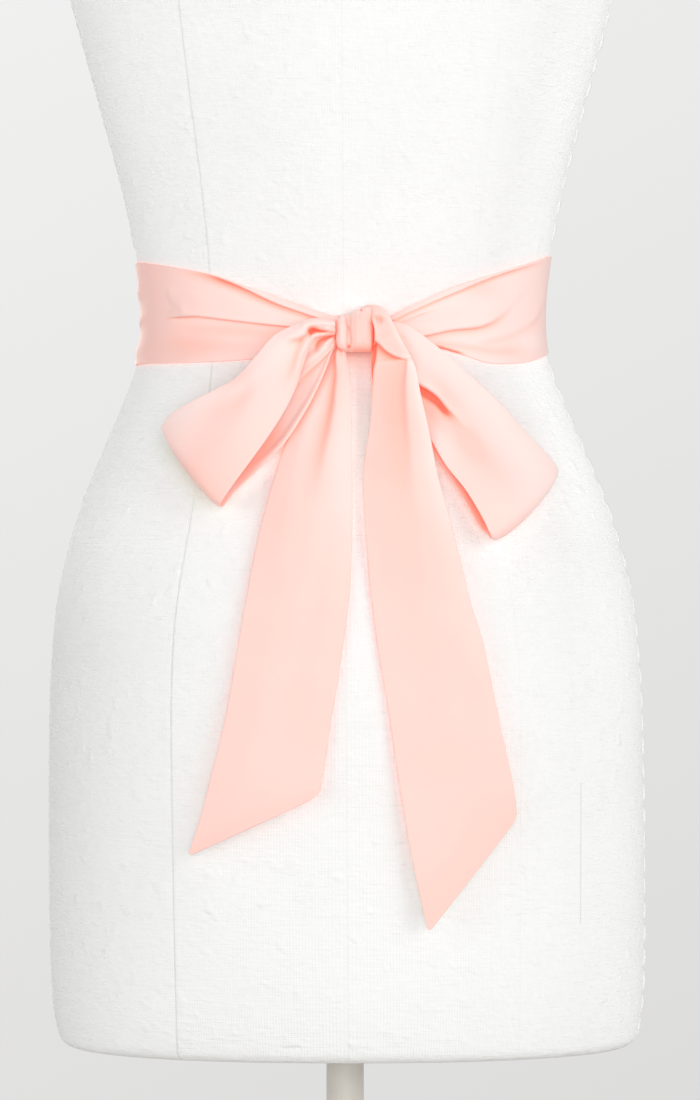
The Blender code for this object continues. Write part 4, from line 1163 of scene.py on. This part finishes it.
def buildStrip(name, rows, folds, lightPatches, look, turnRow=None, bulge=0.0, corners=None):
    # bulge is how far a loop's bend bows out between its corners
    middle = np.stack([(rows["a" + c] + rows["b" + c]) / 2 for c in ("x", "rise", "lift")], -1)
    travelled = np.concatenate([[0], np.cumsum(np.linalg.norm(np.diff(middle, axis=0), axis=1))])
    total = travelled[-1]
    fine = np.arange(0, look["fineReach"], look["fineStep"])
    if turnRow:
        coarse = np.arange(look["fineReach"], total - look["fineReach"], look["rowStep"])
        places = np.concatenate([fine, coarse, total - fine[::-1]])
    else:
        coarse = np.arange(look["fineReach"], total - 1.2, look["rowStep"])
        places = np.concatenate([fine, coarse, total - np.array([0.9, 0.5, 0.2, 0.0])])
    place, part = np.meshgrid(places, acrossPlaces(look["columns"], look["meanWidth"]), indexing="ij")
    if corners:
        wide = look["widthOfCloth"]
        sideA, endA = roundCorner(part * wide, total - place, corners[0])
        sideB, endB = roundCorner((1 - part) * wide, total - place, corners[1])
        part = part + (sideA - sideB) / wide
        place = place - endA - endB
    row, ax, arise, alift, bx, brise, blift = (curve(travelled, rows[key], place) for key in rows)
    width = np.hypot(ax - bx, arise - brise)
    rowsPerMm = (curve(travelled, rows["row"], place + 0.1) - row) / 0.1
    lift, shift, creaseShade = foldEffects(folds, row, lambda way: (way - part) * width, width * rowsPerMm)
    stillIn = ease(part * width / 2.5) * ease((1 - part) * width / 2.5)
    across = part - shift * stillIn / width
    back = (row > turnRow) if turnRow else np.zeros_like(row, bool)
    soften = ease(np.abs(row - turnRow)) if turnRow else 1.0
    crown = np.where(back, look.get("backCrown", 0), look["crown"]) * soften
    pleat = np.where(back, look.get("backPleat", 0), look["pleat"]) * soften
    ends = np.maximum(np.minimum(place, total - place) if turnRow else place, 0)
    gather = np.exp(-ends / look["pleatFade"])
    lift = lift + crown * 4 * part * (1 - part) * ease(place / 30.0)
    lift = lift + pleat * gather * np.cos(2 * np.pi * (2 * part + 0.5))
    x = ax + (bx - ax) * across
    rise = arise + (brise - arise) * across
    lift = lift + alift + (blift - alift) * across
    if turnRow:
        outward = middle[turnRow, :2] - middle[turnRow - 3, :2]
        outward = outward / np.hypot(*outward)
        bow = bulge * np.sqrt(4 * part * (1 - part)) * hump(row - turnRow, 2.2)
        x, rise = x + bow * outward[0], rise + bow * outward[1]
    grid = onBack(x, rise, lift)
    edge = np.minimum(np.minimum(part, 1 - part) * width, total - place)
    uv = np.stack([place, part * look["widthOfCloth"]], -1)
    print(name, "is", round(total), "mm long")
    # painted light: paler along one edge than the other, and the patches add painted light and shade
    paintedLight = look["paintedLight"][0] + (look["paintedLight"][1] - look["paintedLight"][0]) * ease(part)
    paintedLight = withLightPatches(paintedLight, lightPatches, row, part)
    return clothShell(name, grid, look["wall"], edge, satin, uv, {"creaseShade": creaseShade, "paintedLight": paintedLight})


leftTailCloth = buildStrip("leftTailCloth", leftTailRows, leftTailFolds, leftTailLightPatches,
                           tailLook, corners=(7.0, 3.0))
rightTailCloth = buildStrip("rightTailCloth", rightTailRows, rightTailFolds, rightTailLightPatches,
                            tailLook, corners=(6.0, 3.0))
print("tails hung")
leftLoopCloth = buildStrip("leftLoopCloth", leftLoopRows, leftLoopFolds, leftLoopLightPatches,
                           loopLook, turnRow=10, bulge=4.0)
rightLoopCloth = buildStrip("rightLoopCloth", rightLoopRows, rightLoopFolds, rightLoopLightPatches,
                            loopLook, turnRow=10, bulge=6.8)
print("loops turned")

# Knot.
knotRows = table(
    "x top bottom depth",
    (-4.9, 4.6, -8.6, 12.5),
    (-3.6, 6.6, -10.4, 15.6),
    (-1.0, 8.4, -12.0, 17.2),
    (1.6, 9.2, -12.6, 16.6),
    (3.0, 9.8, -12.8, 17.0),
    (4.6, 10.6, -12.9, 19.6),
    (9.0, 11.8, -12.8, 21.2),
    (13.0, 13.4, -12.9, 20.2),
    (15.2, 13.6, -12.8, 19.6),
    (16.0, 13.0, -12.4, 18.6),
)
# the edge of the turn that lies over the narrow strip at its left
knotEdge = table(
    "rise x",
    (-13.2, 2.6),
    (-8.5, 4.4),
    (-2.8, 4.2),
    (2.4, 2.1),
    (6.6, 1.1),
    (9.0, 0.6),
)
knotLook = {
    "wall": 0.9,
    "columns": 84,
    "endSteps": (0.05, 0.4, 0.7, 0.86, 0.95),       # how far it has opened, step by step, at both ends
    "backGap": 0.6,
    "step": 1.5,            # how far the turn stands over the strip
    "sharp": 0.42,
    "overlap": 0.5,
    # small hollows: x, rise, radius, depth
    "hollows": [(2.3, -10.1, 0.9, 1.6), (9.7, 10.8, 0.8, 1.2)],
    "wrinkle": 0.18,
    "endRounding": 1.2,
    "flatness": 0.30,       # lower is flatter in front
    "squareness": 0.62,     # lower is squarer at its top and bottom
    "paintedLight": 0.05,
    "uvRound": 16.0,        # mm of cloth for each radian round it and for each mm along it
    "uvAlong": 2.2,
}


def buildKnot():
    k = knotLook
    first, last, steps = knotRows["x"][0], knotRows["x"][-1], len(k["endSteps"])
    even = np.linspace(first, last, k["columns"])
    stations = np.concatenate([np.full(steps, first), even, np.full(steps, last)])
    closing = np.concatenate([k["endSteps"], np.ones(k["columns"]), k["endSteps"][::-1]])
    turns = np.radians(np.linspace(-90, 90, 61))
    x, turn = np.meshgrid(stations, turns, indexing="ij")
    closing = np.repeat(closing[:, None], len(turns), 1)
    top, bottom, depth = (curve(knotRows["x"], knotRows[name], x) for name in ("top", "bottom", "depth"))
    middle, half = (top + bottom) / 2, (top - bottom) / 2
    fromEnd = np.minimum(x - stations[0], stations[-1] - x)
    roundEnd = np.sqrt(1 - (1 - np.clip(fromEnd / k["endRounding"], 0, 1)) ** 2)
    closing = closing * (0.90 + 0.10 * roundEnd)
    rise = middle + half * closing * signedPower(np.sin(turn), k["squareness"])
    away = x - curve(knotEdge["rise"], knotEdge["x"], rise)
    front = ease(np.cos(turn) * 3)
    stepUp = stepAcross(away, k["sharp"])
    over = k["step"] * (stepUp * hump(np.maximum(away, 0), 7.0) - 0.2 * hump(away + 1.0, 0.9)) * front
    wrinkles = np.sin(x * 1.15 + 0.10 * rise) * ease((x - 4) / 4) + 0.6 * np.sin(x * 2.1 - 0.06 * rise)
    # painted crease shade along the edge of the turn, at its right end, towards its bottom and in the small
    # hollows
    creaseShade = (1 - stepUp) * hump(np.minimum(away, 0), 0.9) * front + 0.5 * hump(stations[-1] - x, 0.9)
    creaseShade = creaseShade + 0.55 * ease((-np.sin(turn) - 0.45) / 0.55) * ease((x - 3) / 3)
    for hollowX, hollowRise, radius, deep in k["hollows"]:
        hollow = hump(np.hypot(x - hollowX, rise - hollowRise), radius)
        over = over - deep * hollow
        creaseShade = creaseShade + 1.4 * hollow
    depth = depth - 0.9 + over + k["wrinkle"] * wrinkles * front
    lift = (depth * closing - k["backGap"]) * signedPower(np.cos(turn), k["flatness"]) + k["backGap"]
    x = x - k["overlap"] * overhang(away, k["sharp"]) * front * ease(fromEnd / 2.0)
    grid = onBack(x, rise, lift)
    edge = np.full_like(x, 3.0)
    edge[[0, -1], :] = 0
    edge[:, [0, -1]] = 0
    edge[:, [1, -2]] = 0.4
    uv = np.stack([turn * k["uvRound"], x * k["uvAlong"]], -1)
    # painted highlight: paler on the narrow strip at the left and over the top of the knot
    paintedLight = k["paintedLight"] + 0.5 * (1 - stepUp) + 0.9 * ease((np.sin(turn) - 0.35) / 0.6)
    marks = {"creaseShade": np.clip(creaseShade, 0, 1), "paintedLight": paintedLight}
    return clothShell("knotCloth", grid, k["wall"], edge, satin, uv, marks)


knotCloth = buildKnot()
print("knot tied")

# What each piece stands for.
stands = [
    (formCover, ["form_body"], "pale_linen"),
    (rightStitches, [], "pale_linen"),
    (leftStitches, [], "pale_linen"),
    (neckCap, ["neck_cap"], "pale_wood"),
    (standPole, ["pole"], "ivory_paint"),
    (poleCollar, ["pole_collar"], "ivory_paint"),
    (baseDisc, ["base_disc"], "ivory_paint"),
    (bandCloth, ["waist_band"], "peach_satin"),
    (knotCloth, ["knot"], "peach_satin"),
    (leftLoopCloth, ["left_loop"], "peach_satin"),
    (rightLoopCloth, ["right_loop"], "peach_satin"),
    (leftTailCloth, ["left_tail"], "peach_satin"),
    (rightTailCloth, ["right_tail"], "peach_satin"),
]
for piece, nodes, finish in stands:
    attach(piece, "root")
    if nodes:
        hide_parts(*nodes)
# Floor, camera and light.
stageLook = {
    "floorRadius": 1.15,
    "floorDrop": 0.3,        # mm under the foot
    "solidTo": 0.70,
    "floorColor": (0.74, 0.74, 0.73),
    "speckleColor": (0.79, 0.79, 0.78),
    "top": (0.868, 0.868, 0.863),
    "low": (0.745, 0.740, 0.735),
    "ceiling": (0.25, 0.25, 0.25),
    "ground": (0.35, 0.35, 0.35),
    "leftGain": 0.012,
    "rightLoss": 0.035,
}


def buildFloor():
    material, tree, shader = newMaterial("paleFloor")
    place = textureNode(tree)
    distance = addNode(tree, "ShaderNodeVectorMath", operation="LENGTH")
    tree.links.new(place, distance.inputs[0])
    speckle = noise(tree, place, 60.0, 3.0)
    color = mixColor(tree, ramp(tree, speckle, 0.4, 0.6), stageLook["floorColor"], stageLook["speckleColor"])
    tree.links.new(color, shader.inputs["Base Color"])
    rim = stageLook["floorRadius"] - 0.02
    fade = ramp(tree, distance.outputs["Value"], stageLook["solidTo"], rim, 1.0, 0.0)
    tree.links.new(fade, shader.inputs["Alpha"])
    setShader(shader, {"Roughness": 0.9})
    radius, level = stageLook["floorRadius"] * 1000, -stageLook["floorDrop"]
    floor = lathe("floor", [(r, level) for r in (1.0, 200.0, radius * 0.6, radius)], material, 96)


def buildWorld():
    world = bpy.data.worlds.new("paleRoom")
    bpy.context.scene.world = world
    world.use_nodes = True
    tree = world.node_tree
    across, _, height = axesOf(tree, textureNode(tree, "Generated"))
    color = mixColor(tree, ramp(tree, height, -0.15, 0.15), stageLook["low"], stageLook["top"])
    color = mixColor(tree, ramp(tree, height, 0.18, 0.45), color, stageLook["ceiling"])
    color = mixColor(tree, ramp(tree, height, -0.20, -0.50), color, stageLook["ground"])
    side = ramp(tree, across, -0.09, 0.09, 1 + stageLook["leftGain"], 1 - stageLook["rightLoss"])
    background = tree.nodes["Background"]
    tree.links.new(color, background.inputs["Color"])
    tree.links.new(side, background.inputs["Strength"])


cameraPlace = {
    "x": 0.003,
    "y": -2.4,
    "z": 0.515,
    "coveredHeight": 0.6765,       # height of the picture at the middle plane
}


def addCamera():
    camera = bpy.data.cameras.new("camera")
    camera.sensor_fit = "VERTICAL"
    camera.sensor_height = 36.0
    camera.lens = camera.sensor_height * -cameraPlace["y"] / cameraPlace["coveredHeight"]
    camera.clip_end = 50.0
    holder = bpy.data.objects.new("camera", camera)
    holder.location = (cameraPlace["x"], cameraPlace["y"], cameraPlace["z"])
    holder.rotation_euler = (math.radians(90), 0, 0)
    bpy.context.scene.collection.objects.link(holder)
    bpy.context.scene.camera = holder


lightRows = [
    # name, place, what it faces, size, power, colour
    ("softRight", (1.95, -1.8, 1.25), (0.02, 0, 0.60), 1.7, 27.5, (1.0, 0.998, 0.995)),
    ("softFront", (0.1, -2.9, 0.75), (0, 0, 0.60), 1.7, 27.5, (1.0, 1.0, 1.0)),
    ("softLeft", (-2.1, -1.5, 1.1), (0, 0, 0.55), 1.7, 14.5, (0.985, 1.0, 0.99)),
    ("farSide", (-0.9, 2.6, 1.6), (0, 0, 0.62), 1.8, 30.0, (1.0, 1.0, 1.0)),
]


def addLights():
    for name, place, target, size, power, color in lightRows:
        light = bpy.data.lights.new(name, "AREA")
        light.shape = "SQUARE"
        light.size = size
        light.energy = power
        light.color = color
        holder = bpy.data.objects.new(name, light)
        holder.location = place
        away = [t - p for t, p in zip(target, place)]
        flat = math.hypot(away[0], away[1])
        holder.rotation_euler = (math.atan2(flat, -away[2]), 0, math.atan2(away[1], away[0]) - math.pi / 2)
        bpy.context.scene.collection.objects.link(holder)


buildFloor()
buildWorld()
addCamera()
addLights()
bpy.context.scene.view_settings.view_transform = "Standard"
bpy.context.scene.view_settings.look = "None"
print("stage lit")
